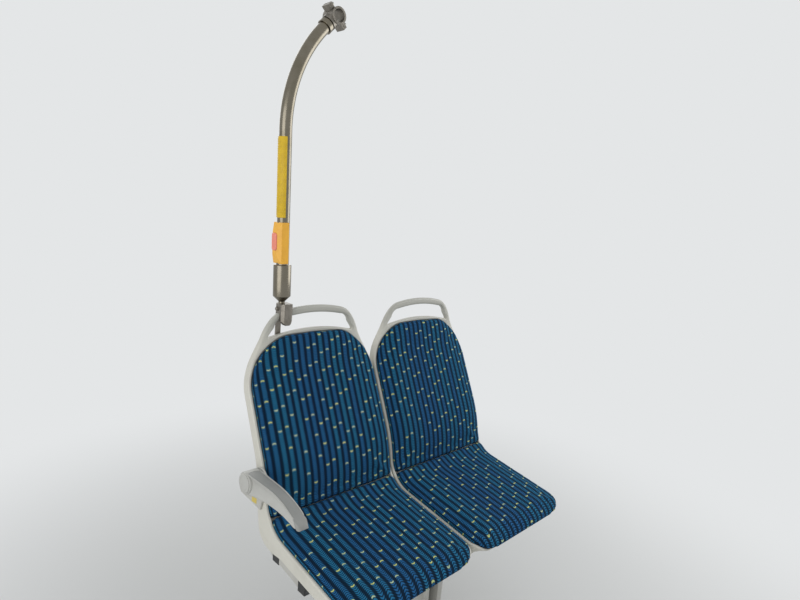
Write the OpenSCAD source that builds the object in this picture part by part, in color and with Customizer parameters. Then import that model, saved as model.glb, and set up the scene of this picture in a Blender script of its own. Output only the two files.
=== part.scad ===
// Twin passenger seat of a small bus, with a folding armrest on the aisle side and a
// grab pole that rises from the aisle seat's handle to a clamp for the ceiling rail.
// X runs from the aisle to the window wall, Y from front to rear and Z up. The seats
// face -Y. The origin is on the floor, at the centre of the pedestal's bolt pattern.

/* [Shells] */
// Width of one moulded shell
shell_w = 456; // [440:2:470]
// Gap between the two shells
seat_gap = 4; // [4:1:16]
// Height of the rim at the rear end of the straight pan
seat_h = 452; // [440:1:480]
// Place of the rear end of the straight pan behind the pedestal's centre
pan_rear_y = 20; // [10:1:30]
// Straight length of the pan, from the front lip to the hip bend
pan_l = 272; // [250:2:300]
// Rise of the pan towards the back, in degrees
pan_tilt = 9; // [6:0.5:11]
// Radius of the front lip
lip_r = 31; // [28:1:40]
// Turn of the front lip, in degrees
lip_turn = 66; // [55:1:75]
// Radius of the hip bend
hip_r = 99; // [92:1:106]
// Turn of the hip bend, in degrees
hip_turn = 71; // [66:1:74]
// Length of the lumbar curve
lumbar_l = 117; // [100:1:135]
// Turn of the lumbar curve, in degrees
lumbar_turn = 15; // [12:1:18]
// Straight length of the leaning back
lean_l = 196; // [170:2:220]
// Length of the curve that turns the top upright
upper_l = 130; // [110:5:150]
// Straight length of the handle plate at the top
top_l = 46; // [42:1:56]
// Thickness of the moulding
wall = 4; // [3:0.5:5]
// Width of the rim's face
rim_w = 9; // [8:0.5:12]
// Depth of the tray that holds the seat pad
pan_tray = 20; // [17:0.5:23]
// Depth of the tray that holds the back pad, at its middle
back_tray = 14; // [12:0.5:16]
// Depth of the side flange at the front of the pan
pan_flange = 32; // [28:1:38]
// Depth of the side flange at its knee, under the hip bend
knee_flange = 68; // [60:1:76]
// Depth of the side flange behind the leaning back
back_flange = 27; // [22:1:32]
// Radius of the front corners
front_corner = 60; // [50:1:70]

/* [Handle] */
// Width of the handle at the top
handle_w = 324; // [304:2:340]
// Radius of the handle's outer corners
handle_corner = 56; // [48:1:62]
// Rise of the arch over the upper ends of its sides
arch_crown = 30; // [24:1:34]
// Height of the bar over the slot
arch_bar = 22; // [20:0.5:26]
// Height of the slot at its middle
slot_h = 46; // [42:1:50]
// Width of the slot at its foot
slot_w = 314; // [300:2:320]
// Height of the bar under the slot
lower_bar = 11.5; // [9:0.5:14]
// Thickness of the handle plate
handle_t = 18; // [16:0.5:20]
// Length over which the shoulders taper
shoulder_l = 200; // [180:5:220]

/* [Pads] */
// Height of a pad's steep side over the rim
pad_edge = 12; // [8:0.5:14]
// Overhang of a pad's side over the rim
pad_bulge = 5; // [3:0.5:6]
// Height of a pad's crown over its steep side
pad_crown = 8; // [6:0.5:12]
// Width of the rounded border of a pad
pad_border = 30; // [26:1:36]
// Share of that width at the crease between the two pads
crease_share = 0.35; // [0.2:0.05:0.6]
// Clearance round and under a pad
pad_clear = 0.6; // [0.5:0.1:0.8]

/* [Frame] */
// Outer size of the square cross tubes
tube_a = 30; // [26:1:34]
// Wall of the cross tubes
tube_wall = 2.5; // [2:0.5:4]
// Distance between the two cross tubes
tube_pitch = 120; // [110:2:130]
// Distance of the tubes' ends inside the aisle shell's outer rail
tube_short = 2; // [2:0.5:4]
// Height of a seat rail
rail_h = 46; // [42:1:50]
// Thickness of a seat rail
rail_t = 14; // [10:1:16]
// Length of a seat rail
rail_l = 164; // [160:1:180]
// Overhang of a seat rail behind the straight pan
rail_rear = 64; // [62:1:76]
// Distance of a rail's middle from its shell's edge
rail_inset = 22; // [20:1:30]
// Depth of the notch that seats a rail on a tube
rail_notch = 23; // [16:1:24]
// Height of the rubber blocks between a shell and its rails
block_h = 7; // [6:0.5:10]
// Length of a rubber block
block_l = 30; // [24:1:36]

/* [Pedestal] */
// Depth of the pedestal from front to rear
leg_depth = 260; // [240:5:280]
// Thickness of the pressed sheet
leg_t = 5; // [4:0.5:6]
// Distance between the two pressed legs at the top
leg_gap = 40; // [34:1:46]
// Width of the folded edges
leg_fold = 20; // [16:1:24]
// Radius of the flare
flare_r = 80; // [70:1:90]
// Turn of the flare, in degrees
flare_turn = 45; // [40:1:50]
// Distance of the floor bolts across the seat
floor_bolt_x = 240; // [230:2:250]
// Distance of the floor bolts from front to rear
floor_bolt_y = 200; // [180:2:210]
// Diameter of the floor bolt holes
floor_bolt_d = 11; // [9:0.5:13]
// Width of the flat foot
foot_w = 50; // [44:1:56]

/* [Wall bracket] */
// Clearance between the window shell and the bracket
wall_gap = 2; // [1:0.5:6]
// Thickness of the wall plate
wall_plate_t = 6; // [5:0.5:8]
// Distance of the wall bolts from front to rear
wall_bolt_y = 186; // [180:2:200]
// Distance of the wall bolts in height
wall_bolt_z = 50; // [40:1:56]
// Diameter of the wall bolt holes
wall_bolt_d = 9; // [7:0.5:11]
// Margin of the wall plate round its bolts
wall_margin = 15; // [12:1:20]

/* [Armrest] */
// Place of the hinge behind the pedestal's centre
hub_y = 122; // [118:1:128]
// Height of the hinge
hub_z = 593; // [586:1:600]
// Radius of the hub
hub_r = 29; // [26:0.5:31]
// Distance from the hinge to the middle of the tip
arm_l = 230; // [214:2:240]
// Width of the armrest
arm_w = 40; // [36:1:44]
// Width of the web under the armrest's top
web_t = 30; // [24:1:34]
// Clearance between the armrest and its bracket
arm_gap = 5.2; // [5:0.1:7]
// Thickness of the bracket
bracket_t = 6; // [5:0.5:8]
// Diameter of the hinge pin
pin_d = 16; // [12:1:18]
// Radial clearance of the hinge pin
pin_play = 0.05; // [0.02:0.01:0.1]

/* [Grab pole] */
// Distance of the pole from the middle of the aisle seat
pole_off = 111; // [105:1:114]
// Lean of the pole towards the aisle, in degrees
pole_lean = 2; // [0:0.5:3]
// Diameter of the pole
pole_d = 35; // [30:1:38]
// Wall of the pole
pole_wall = 2; // [1.5:0.5:3]
// Height of the clamp block over the arch
clamp_rise = 11; // [9:1:16]
// Width of the clamp block
clamp_w = 38; // [36:1:46]
// Depth of the clamp block
clamp_depth = 44; // [42:1:50]
// Distance of the clamp block's middle in front of the pole
clamp_lead = 5; // [3:0.5:6]
// Distance of the clamp block's middle from the pole, towards the window
clamp_shift = 7; // [3:0.5:8]
// Drop of the clamp block under the bar of the handle
clamp_drop = 29; // [24:1:32]
// Height of the sleeve with its cone and neck
sleeve_h = 110; // [100:1:120]
// Diameter of the sleeve
sleeve_d = 50; // [46:1:54]
// Height of the stop button's box
box_h = 114; // [104:1:124]
// Height of the stop button
button_h = 48; // [42:1:56]
// Width of the stop button
button_w = 22; // [18:1:24]
// Height of the yellow insert
insert_h = 216; // [196:4:228]
// Thickness of the yellow insert
insert_t = 2.5; // [2:0.5:3]
// Bare length of the pole above the insert, up to the bend
bare_l = 18; // [10:1:40]
// Radius of the bend to the ceiling rail
bend_r = 412; // [390:2:440]
// Turn of the bend, in degrees
bend_turn = 43; // [40:1:47]
// Straight length of the pole past the bend
end_l = 24; // [20:1:40]
// Diameter of the ceiling rail that the top clamp holds
rail_d = 35; // [30:1:38]
// Length of the ceiling clamp along its rail
rail_clamp_l = 46; // [40:1:56]

/* [Hidden] */

$fn = 48;
seat = 0.3;
half_w = shell_w / 2;
seat_x = (shell_w + seat_gap) / 2;
aisle_x = -seat_x;

// Side line of the rim from the front lip to the top, where it stands upright. Each row
// is [length, turn].
upper_turn = 90 - pan_tilt - hip_turn + lumbar_turn;
side_line = [
    [lip_r * lip_turn * PI / 180, -lip_turn],
    [pan_l, 0],
    [hip_r * hip_turn * PI / 180, hip_turn],
    [lumbar_l, -lumbar_turn],
    [lean_l, 0],
    [upper_l, upper_turn],
    [top_l, 0]];

// Length along the side line to the start of row i
function s_to(i) = i == 0 ? 0 : s_to(i - 1) + side_line[i - 1][0];
s_pan = s_to(1);
s_hip = s_to(2);
s_lumbar = s_to(3);
s_lean = s_to(4);
s_upper = s_to(5);
s_top = s_to(7);

lip_head = pan_tilt + lip_turn;
line_start = [
    pan_rear_y - pan_l * cos(pan_tilt) - lip_r * (sin(lip_head) - sin(pan_tilt)),
    seat_h - pan_l * sin(pan_tilt) - lip_r * (cos(pan_tilt) - cos(lip_head)),
    lip_head];

// A point [y, z, heading] moved on by a length l that turns by a number of degrees
function moved(p, l, turn) = abs(turn) < 0.01
    ? [p[0] + l * cos(p[2]), p[1] + l * sin(p[2]), p[2]]
    : let(r = l * 180 / PI / turn, h = p[2] + turn)
        [p[0] + r * (sin(h) - sin(p[2])), p[1] - r * (cos(h) - cos(p[2])), h];

// The point [y, z, heading] at length s along a line of rows like side_line
function on_line(s, line, p, i = 0) = s <= line[i][0] || i == len(line) - 1
    ? moved(p, s, line[i][1] * s / line[i][0])
    : on_line(s - line[i][0], line, moved(p, line[i][0], line[i][1]), i + 1);

// The point in space at distance x across, length s along the side line and depth n
// under the rim
function bent(x, s, n) = let(p = on_line(s, side_line, line_start))
    [x, p[0] + n * sin(p[2]), p[1] - n * cos(p[2])];

// Stations along the side line, close together where it bends
longest_step = 45;
widest_turn = 6;
stations = [for (i = [0 : len(side_line) - 1])
    let(l = side_line[i][0],
        parts = max(ceil(l / longest_step), ceil(abs(side_line[i][1]) / widest_turn)))
    for (k = [0 : parts - 1]) s_to(i) + l * k / parts];

// Half the shell's width at length s, with the shoulders' taper
function eased(t) = (1 - cos(180 * min(1, max(0, t)))) / 2;
function half_at(s) = half_w
    - (half_w - handle_w / 2) * eased((s - s_top + shoulder_l) / shoulder_l);

// Width lost to a round corner of radius r at distance d from the end
function corner_cut(d, r) = d >= r ? 0 : r - sqrt(max(0, r * r - (r - d) * (r - d)));

// Rise of a crowned edge at distance x from its middle, down to nothing at half a width
function crowned(rise, x, half) = rise * max(0, 1 - x * x / half / half);

zone_steps = 10;
edge_parts = 3;
front_bulge = 1;

// Right half of an outline in the flat, as [x, s] points from front to top. A row is
// [side inset, front s, top s, front radius, top radius, rise of the top edge], and
// the stations between lo and hi lie on its straight sides. The top edge's rise falls
// off to nothing where its corners begin.
function half_outline(row, lo, hi) =
    let(x_of = function(s) half_at(s) - row[0] - corner_cut(s - row[1], row[3])
            - corner_cut(row[2] - s, row[4]),
        x0 = x_of(row[1]),
        x1 = x_of(row[2]),
        rise = function(x) crowned(row[5], x, x_of(row[2] - row[4])))
    concat(
        [for (k = [0 : edge_parts - 1]) let(t = k / edge_parts)
            [x0 * t, row[1] - front_bulge * (1 - t * t)]],
        [for (k = [0 : zone_steps - 1]) let(s = row[1]
            + (lo - row[1]) * (1 - cos(90 * k / zone_steps))) [x_of(s), s]],
        [for (s = stations) if (s > lo && s < hi) [x_of(s), s]],
        [for (k = [0 : zone_steps]) let(s = hi
            + (row[2] - hi) * sin(90 * k / zone_steps)) [x_of(s), s + rise(x_of(s))]],
        [for (k = [edge_parts - 1 : -1 : 0]) let(x = x1 * k / edge_parts)
            [x, row[2] + rise(x)]]);

// A closed loop in space from such an outline, its depth given by a function of s
function loop(half, depth) = let(m = len(half) - 1) concat(
    [for (p = half) bent(p[0], p[1], depth(p[1]))],
    [for (j = [m - 1 : -1 : 1]) bent(-half[j][0], half[j][1], depth(half[j][1]))]);

// A closed skin through a list of loops, its first and last loop filled across X
module skin(loops) {
    m = len(loops[0]);
    last = len(loops) - 1;
    points = [for (l = loops) for (p = l) p];
    sides = [for (k = [0 : last - 1]) for (j = [0 : m - 1])
        let(a = k * m + j, b = k * m + (j + 1) % m)
        for (f = [[b, a, a + m], [b, a + m, b + m]]) f];
    function strips(base, turned) = [for (j = [0 : m / 2 - 1])
        let(a = base + j, b = a + 1, c = base + (m - j - 1) % m, d = base + (m - j) % m,
            f = j == 0 ? [a, b, c] : c == b ? [a, b, d] : [a, b, c, d])
        turned ? f : [for (i = [len(f) - 1 : -1 : 0]) f[i]]];
    polyhedron(points, concat(sides, strips(0, true), strips(last * m, false)));
}

// Depths of the tray and the side flange along the side line, as rows of [s, depth].
// The flange has its knee below the middle of the hip bend.
tray_crown = 10;
s_tray_top = s_top + arch_crown - arch_bar - slot_h - lower_bar - tray_crown;
tray_corner = 76;
tray_front = 4;
lip_depth = 8;
edge_tray = back_tray / 2;
top_tray = edge_tray + 3;
hip_l = s_lumbar - s_hip;
s_knee = s_hip + 0.44 * hip_l;
knee_start = 0.84 * knee_flange;
knee_end = 0.72 * knee_flange;
rear_flange = 1.45 * back_flange;
handle_run = 60;
mid_tray_rows = [[0, lip_depth], [s_pan, pan_tray], [s_lumbar, pan_tray],
    [s_lean, back_tray], [s_upper, back_tray], [s_tray_top, top_tray]];
edge_tray_rows = [[0, lip_depth], [s_pan, pan_tray], [s_lumbar, pan_tray],
    [s_lean, edge_tray], [s_tray_top, edge_tray]];
flange_rows = [[0, lip_depth + wall], [s_pan, pan_flange], [s_hip, pan_flange + 2 * wall],
    [s_hip + 0.22 * hip_l, knee_start], [s_knee, knee_flange],
    [s_hip + 0.56 * hip_l, 0.95 * knee_flange], [s_hip + 0.7 * hip_l, knee_end],
    [s_lumbar, rear_flange], [s_lean, back_flange], [s_upper, back_flange],
    [s_tray_top - handle_run, back_flange], [s_tray_top, handle_t],
    [s_top + arch_crown, handle_t]];
mid_depth = function(s) lookup(s, mid_tray_rows);
edge_depth = function(s) lookup(s, edge_tray_rows);
flange_depth = function(s) lookup(s, flange_rows);

// Insets from the shell's edge, and the rows of outlines that use them
rim_round = 4;
tray_draft = 1.5;
floor_inset = 45;
floor_front_r = front_corner - 4;
floor_lo = front_corner + 6;
floor_hi = s_tray_top - tray_corner - 3;
function outer_row(e) = [e, e, s_top - e, front_corner - e, handle_corner - e, arch_crown];
function tray_row(e, f) = [e, f, s_tray_top - e + rim_w, floor_front_r,
    tray_corner, tray_crown];

// One moulded shell on its own centre line: a tray under each pad, a rim and side
// flanges that turn down round it, and a handle plate with a slot over the back
module shell() {
    under_edge = function(s) edge_depth(s) + wall;
    under_mid = function(s) mid_depth(s) + wall;
    flat = function(s) 0;
    part_round = function(s) rim_round / 4;
    below_round = function(s) rim_round;
    function ring(row, depth) = loop(half_outline(row, floor_lo, floor_hi), depth);
    difference() {
        skin([ring(tray_row(floor_inset, floor_inset), under_mid),
            ring(tray_row(rim_w + 2, rim_w), under_edge),
            ring(outer_row(wall), flange_depth),
            ring(outer_row(0), flange_depth),
            ring(outer_row(0), below_round),
            ring(outer_row(rim_round / 4), part_round),
            ring(outer_row(rim_round), flat),
            ring(tray_row(rim_w, tray_front), flat),
            ring(tray_row(rim_w + tray_draft, tray_front + tray_draft), edge_depth),
            ring(tray_row(floor_inset, floor_inset), mid_depth)]);
        slot_cut();
    }
}

// The handle slot, drawn in the upright plane of the handle plate
slot_drop = 20;
slot_corner = 32;
slot_taper = 22;
s_slot = s_top + arch_crown - arch_bar - slot_h;
function z_at(s) = bent(0, s, 0)[2];
module slot_cut() {
    foot = slot_w / 2;
    top_x = foot - slot_taper - slot_corner;
    arch_x = half_at(s_top - handle_corner);
    roof = function(x) s_top - arch_bar + crowned(arch_crown, x, arch_x);
    right = concat(
        [for (t = [0 : 0.2 : 1]) [foot * t, z_at(s_slot - slot_drop * t * t)]],
        [for (a = [10 : 17 : 78]) [top_x + slot_corner * cos(a),
            z_at(roof(top_x) - slot_corner + slot_corner * sin(a))]],
        [for (t = [1 : -0.2 : 0.1]) [top_x * t, z_at(roof(top_x * t))]],
        [[0, z_at(roof(0))]]);
    n = len(right) - 1;
    outline = concat(right, [for (j = [n - 1 : -1 : 1]) [-right[j][0], right[j][1]]]);
    translate([0, bent(0, s_top, 0)[1] + 3 * handle_t, 0])
        rotate([90, 0, 0])
            linear_extrude(6 * handle_t) polygon(outline);
}

// A pad between two ends on the side line, with sides that swell out over the rim, a round
// border and a crowned face. An end is [s, corner radius, corner radius at the tray's
// floor, share of border], and it swells out where that share is 1.
module pad(front, top, crown, lo, hi) {
    c = pad_clear;
    side = rim_w + tray_draft + c;
    floor_run = floor_inset + 2 * c - side;
    under_mid = function(s) mid_depth(s) - c;
    under_edge = function(s) edge_depth(s) - 3 * c;
    low = function(s) -pad_edge / 4;
    swell = function(s) -pad_edge * 0.6;
    steep = function(s) -pad_edge;
    shoulder = function(s) -pad_edge - 0.6 * pad_crown;
    face = function(s) -pad_edge - pad_crown;
    function share(e, end) = e < 0 && end[3] < 1 ? 0 : e * end[3];
    function row(e) = [side + e, front[0] + share(e, front), top[0] - share(e, top),
        max(4, front[1] - e), max(4, top[1] - e), crown];
    floor_row = [side + floor_run, front[0] + floor_run * front[3],
        top[0] - floor_run * top[3], front[2], top[2], crown];
    function ring(r, depth) = loop(half_outline(r, lo, hi), depth);
    skin([ring(floor_row, under_mid),
        ring(row(1), under_edge),
        ring(row(0), low),
        ring(row(-pad_bulge), swell),
        ring(row(-pad_bulge / 2), steep),
        ring(row(pad_border / 4), shoulder),
        ring(row(pad_border), face)]);
}

crease_run = 75;
s_crease = s_hip + crease_run;
crease_gap = 2;
crease_corner = 12;
crease_crown = 1;
crease_zone = 60;
module seat_pad() {
    front = [tray_front + tray_draft + pad_clear, front_corner - 6, floor_front_r, 1];
    crease = [s_crease - crease_gap / 2 - crease_crown, crease_corner, crease_corner,
        crease_share];
    pad(front, crease, crease_crown, floor_lo, s_crease - crease_zone);
}
module back_pad() {
    crease = [s_crease + crease_gap / 2, crease_corner, crease_corner, crease_share];
    top = [s_tray_top - tray_draft - pad_clear, tray_corner, tray_corner, 1];
    pad(crease, top, tray_crown, s_crease + crease_zone, floor_hi);
}

shell_grey = "#c4c2b8";
cloth_blue = "#15456f";
module aisle_shell() {
    color(shell_grey) translate([aisle_x, 0, 0]) shell();
}
module window_shell() {
    color(shell_grey) translate([seat_x, 0, 0]) shell();
}
module aisle_seat_pad() {
    color(cloth_blue) translate([aisle_x, 0, 0]) seat_pad();
}
module window_seat_pad() {
    color(cloth_blue) translate([seat_x, 0, 0]) seat_pad();
}
module aisle_back_pad() {
    color(cloth_blue) translate([aisle_x, 0, 0]) back_pad();
}
module window_back_pad() {
    color(cloth_blue) translate([seat_x, 0, 0]) back_pad();
}

// Under frame. The rails lie parallel to the pan, each notched over both cross tubes.
rail_drop = pan_tray + wall + seat + block_h;
rail_xs = [for (c = [aisle_x, seat_x]) for (side = [-1, 1]) c + side * (half_w - rail_inset)];
tube_ys = [-tube_pitch / 2, tube_pitch / 2];
function rail_foot_z(y) = seat_h + (y - pan_rear_y) * tan(pan_tilt)
    - (rail_drop + rail_h) / cos(pan_tilt);
function tube_z(y) = rail_foot_z(y) + rail_notch - tube_a / 2;
wall_x = seat_x + half_w + wall_gap;
tube_x0 = rail_xs[0] - rail_t / 2 + tube_short;
tube_x1 = wall_x;

module on_pan() {
    translate([0, pan_rear_y, seat_h]) rotate([pan_tilt, 0, 0]) children();
}
module along_x(x0, x1) {
    translate([x0, 0, 0]) rotate([90, 0, 90]) linear_extrude(x1 - x0) children();
}
module tube_space(y, clear) {
    a = tube_a + 2 * clear;
    translate([tube_x0 - rail_t, y - a / 2, tube_z(y) - a / 2])
        cube([tube_x1 - tube_x0 + 2 * rail_t, a, a]);
}
module rail_outline() {
    r = rail_h / 2;
    mid = -rail_drop - r;
    translate([rail_rear - rail_l, mid - r]) square([rail_l - r, rail_h]);
    translate([rail_rear - r, mid]) circle(r);
}
module seat_rails() {
    color("#b9b8b2") difference() {
        on_pan() for (x = rail_xs)
            along_x(x - rail_t / 2, x + rail_t / 2) rail_outline();
        for (y = tube_ys) tube_space(y, seat);
    }
}
block_inset = 12;
block_ys = [rail_rear - rail_l + block_inset, rail_rear - rail_h / 2 - block_l];
module rubber_blocks() {
    color("#1c1c1e") on_pan() for (x = rail_xs) for (y = block_ys)
        translate([x - rail_t / 2, y, -rail_drop]) cube([rail_t, block_l, block_h]);
}
module cross_tube(y) {
    inner = tube_a - 2 * tube_wall;
    color("#3b3d40") translate([0, y, tube_z(y)]) along_x(tube_x0, tube_x1)
        difference() {
            square(tube_a, center = true);
            square(inner, center = true);
        }
}
module front_cross_tube() {
    cross_tube(tube_ys[0]);
}
module rear_cross_tube() {
    cross_tube(tube_ys[1]);
}
cap_t = 2;
cap_plug = 12;
module tube_caps() {
    plug = tube_a - 2 * tube_wall - 2 * seat;
    color("#1c1c1e") for (y = tube_ys) translate([tube_x0, y, tube_z(y)]) {
        translate([-cap_t, -tube_a / 2, -tube_a / 2]) cube([cap_t, tube_a, tube_a]);
        translate([0, -plug / 2, -plug / 2]) cube([cap_plug, plug, plug]);
    }
}

// Wall plate that the tubes' window ends butt against
wall_mid_z = (tube_z(tube_ys[0]) + tube_z(tube_ys[1])) / 2;
module wall_bracket() {
    w = wall_bolt_y + 2 * wall_margin;
    h = wall_bolt_z + 2 * wall_margin;
    color("#3b3d40") difference() {
        translate([wall_x, -w / 2, wall_mid_z - h / 2]) cube([wall_plate_t, w, h]);
        for (y = [-1, 1]) for (z = [-1, 1])
            translate([wall_x - 1, y * wall_bolt_y / 2, wall_mid_z + z * wall_bolt_z / 2])
                rotate([0, 90, 0]) cylinder(d = wall_bolt_d, h = wall_plate_t + 2);
    }
}

// Pedestal of two pressed legs, cut at the top to the slope of the inner rails, which
// stand on them. The sheet of the right leg, seen from the front, starts at its top and
// flares out to a flat foot. Each row is [length, turn in degrees].
foot_r = 30;
leg_top = rail_foot_z(leg_depth / 2);
leg_x = leg_gap / 2 + leg_t / 2;
foot_x = floor_bolt_x / 2 - foot_w / 2;
flare_dx = flare_r * (1 - cos(flare_turn)) + foot_r * cos(flare_turn);
slope_l = max(1, (foot_x - leg_x - flare_dx) / sin(flare_turn));
flare_dz = flare_r * sin(flare_turn) + slope_l * cos(flare_turn)
    + foot_r * (1 - sin(flare_turn));
leg_line = [
    [leg_top - flare_dz - leg_t / 2, 0],
    [flare_r * flare_turn * PI / 180, flare_turn],
    [slope_l, 0],
    [foot_r * (90 - flare_turn) * PI / 180, 90 - flare_turn],
    [foot_w, 0]];
bend_steps = 8;
function leg_steps(i) = leg_line[i][1] == 0 ? 1 : bend_steps;
function leg_s(i) = i == 0 ? 0 : leg_s(i - 1) + leg_line[i - 1][0];
leg_stations = [for (i = [0 : len(leg_line) - 1]) for (k = [0 : leg_steps(i)])
    if (k > 0 || i == 0) leg_s(i) + leg_line[i][0] * k / leg_steps(i)];

// The band between two distances from the sheet's middle line, outward positive
module leg_band(n0, n1) {
    start = [leg_x, leg_top, -90];
    function edge(n) = [for (s = leg_stations) let(p = on_line(s, leg_line, start))
        [p[0] - n * sin(p[2]), p[1] + n * cos(p[2])]];
    e0 = edge(n0);
    e1 = edge(n1);
    polygon(concat(e0, [for (j = [len(e1) - 1 : -1 : 0]) e1[j]]));
}
module leg() {
    color("#b9b8b2") difference() {
        rotate([90, 0, 0]) union() {
            translate([0, 0, -leg_depth / 2]) linear_extrude(leg_depth)
                leg_band(-leg_t / 2, leg_t / 2);
            for (z = [-leg_depth / 2, leg_depth / 2 - leg_t])
                translate([0, 0, z]) linear_extrude(leg_t) intersection() {
                    leg_band(-leg_t / 2, leg_fold - leg_t / 2);
                    square([floor_bolt_x, 2 * leg_top]);
                }
        }
        for (y = tube_ys) tube_space(y, seat);
        on_pan() translate([0, -leg_depth, -rail_drop - rail_h - seat])
            cube([floor_bolt_x, 2 * leg_depth, leg_depth]);
        for (y = [-1, 1]) translate([floor_bolt_x / 2, y * floor_bolt_y / 2, -1])
            cylinder(d = floor_bolt_d, h = leg_t + 2);
    }
}
module right_leg() {
    leg();
}
module left_leg() {
    mirror([1, 0, 0]) leg();
}

// Armrest, its bracket on the side of the aisle shell and its hinge. The bracket's
// corners are measured from the hinge as [y, z].
shell_side = aisle_x - half_w;
bracket_x = shell_side - seat - bracket_t;
arm_x = bracket_x - arm_gap;
arm_mid_x = arm_x - arm_w / 2;
bracket_foot = [[-hub_r, 0], [-6, -88], [96, -80], [106, -68], [hub_r, 0]];
module along_hinge(x) {
    translate([x, hub_y, hub_z]) rotate([0, 90, 0]) children();
}
module armrest_bracket() {
    color("#b9b8b2") difference() {
        translate([0, hub_y, hub_z]) along_x(bracket_x, bracket_x + bracket_t) {
            circle(hub_r);
            polygon(bracket_foot);
        }
        along_hinge(bracket_x - 1) cylinder(r = pin_d / 2 + pin_play, h = bracket_t + 2);
    }
}
pin_recess = 1;
module armrest_pin() {
    color("#8a857c") along_hinge(arm_x - arm_w + pin_recess)
        cylinder(d = pin_d, h = arm_w - pin_recess + arm_gap + bracket_t);
}

// Top line of the armrest from over the hinge to the tip. Each row is [length, turn].
arm_bend_turn = 37;
arm_straight = 0.53 * arm_l;
arm_curve = 0.53 * arm_l;
arm_line = [[arm_straight, 0], [arm_curve, arm_bend_turn]];
arm_reach = arm_straight + arm_curve;
arm_stations = [for (t = [0 : 0.125 : 1]) arm_straight * t,
    for (t = [0.125 : 0.125 : 0.875]) arm_straight + arm_curve * t,
    for (t = [0.93, 0.97, 1]) arm_straight + arm_curve * t];
function arm_point(s, n) = let(p = on_line(s, arm_line, [0, 0, 0]))
    [hub_y - p[0] - n * sin(p[2]), hub_z + hub_r - p[1] - n * cos(p[2])];
arm_top_h = 20;
web_rows = [[0, 2 * hub_r], [0.35 * arm_reach, 44], [0.75 * arm_reach, 33],
    [0.93 * arm_reach, arm_top_h + 3]];
module armrest_arm() {
    web_stations = [for (s = arm_stations) if (s < 0.93 * arm_reach) s];
    last = len(web_stations) - 1;
    web = concat([for (s = web_stations) arm_point(s, arm_top_h + seat)],
        [for (i = [last : -1 : 0]) arm_point(web_stations[i],
            lookup(web_stations[i], web_rows))]);
    color("#8f8c85") difference() {
        union() {
            along_hinge(arm_x - arm_w) cylinder(r = hub_r, h = arm_w);
            along_x(arm_mid_x - web_t / 2, arm_mid_x + web_t / 2) polygon(web);
        }
        along_hinge(arm_x - arm_w - 1) cylinder(r = pin_d / 2 + pin_play, h = arm_w + 2);
    }
}
module armrest_pad() {
    tip_round = 26;
    tip_share = 0.35;
    // Half section of the pad as [share of the half width, share of the height]
    half_section = [[0, 0], [0.35, 0.02], [0.68, 0.12], [0.9, 0.3], [1, 0.55],
        [1, 0.8], [0.9, 1]];
    section = concat(half_section, [for (j = [len(half_section) - 1 : -1 : 1])
        [-half_section[j][0], half_section[j][1]]]);
    loops = [for (s = arm_stations) let(d = min(1, (arm_reach - s) / tip_round),
        scale = tip_share + (1 - tip_share) * sqrt(1 - (1 - d) * (1 - d)))
        [for (q = section) let(p = arm_point(s, q[1] * arm_top_h))
            [arm_mid_x + q[0] * scale * arm_w / 2, p[0], p[1]]]];
    m = len(section);
    last = len(loops) - 1;
    color("#8f8c85") difference() {
        polyhedron([for (l = loops) for (p = l) p], concat(
            [for (k = [0 : last - 1]) for (j = [0 : m - 1])
                let(a = k * m + j, b = k * m + (j + 1) % m)
                for (f = [[a, b, b + m], [a, b + m, a + m]]) f],
            [[for (j = [m - 1 : -1 : 0]) j], [for (j = [0 : m - 1]) last * m + j]]));
        along_hinge(arm_x - arm_w - 1) cylinder(r = hub_r + seat, h = arm_w + 2);
    }
}
cover_t = 3;
cover_inset = 4;
module armrest_cap() {
    color("#8f8c85") along_hinge(arm_x - arm_w - cover_t)
        cylinder(r = hub_r - cover_inset, h = cover_t);
}

// Grab pole. Its clamp grips the arch of the aisle seat's handle, between a front block
// and a jaw behind the handle plate, whose tongue reaches down to the bar under the slot.
pole_x = aisle_x - pole_off;
arch_z = z_at(s_top + arch_crown);
plate_front = bent(0, s_top, 0)[1];
plate_rear = plate_front + handle_t;
pole_y = plate_front + handle_t / 2;
clamp_foot = arch_z - arch_bar - clamp_drop;
clamp_top = arch_z + clamp_rise;
jaw_y = plate_rear + seat;
jaw_top = arch_z + 3;
pole_r = pole_d / 2;
steel = "#b4b3ae";
clamp_grey = "#8a857c";
clamp_chamfer = 8;
clamp_foot_cut = 12;
clamp_edge = 3;
tongue_w = 16;
tongue_t = 6;

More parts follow.
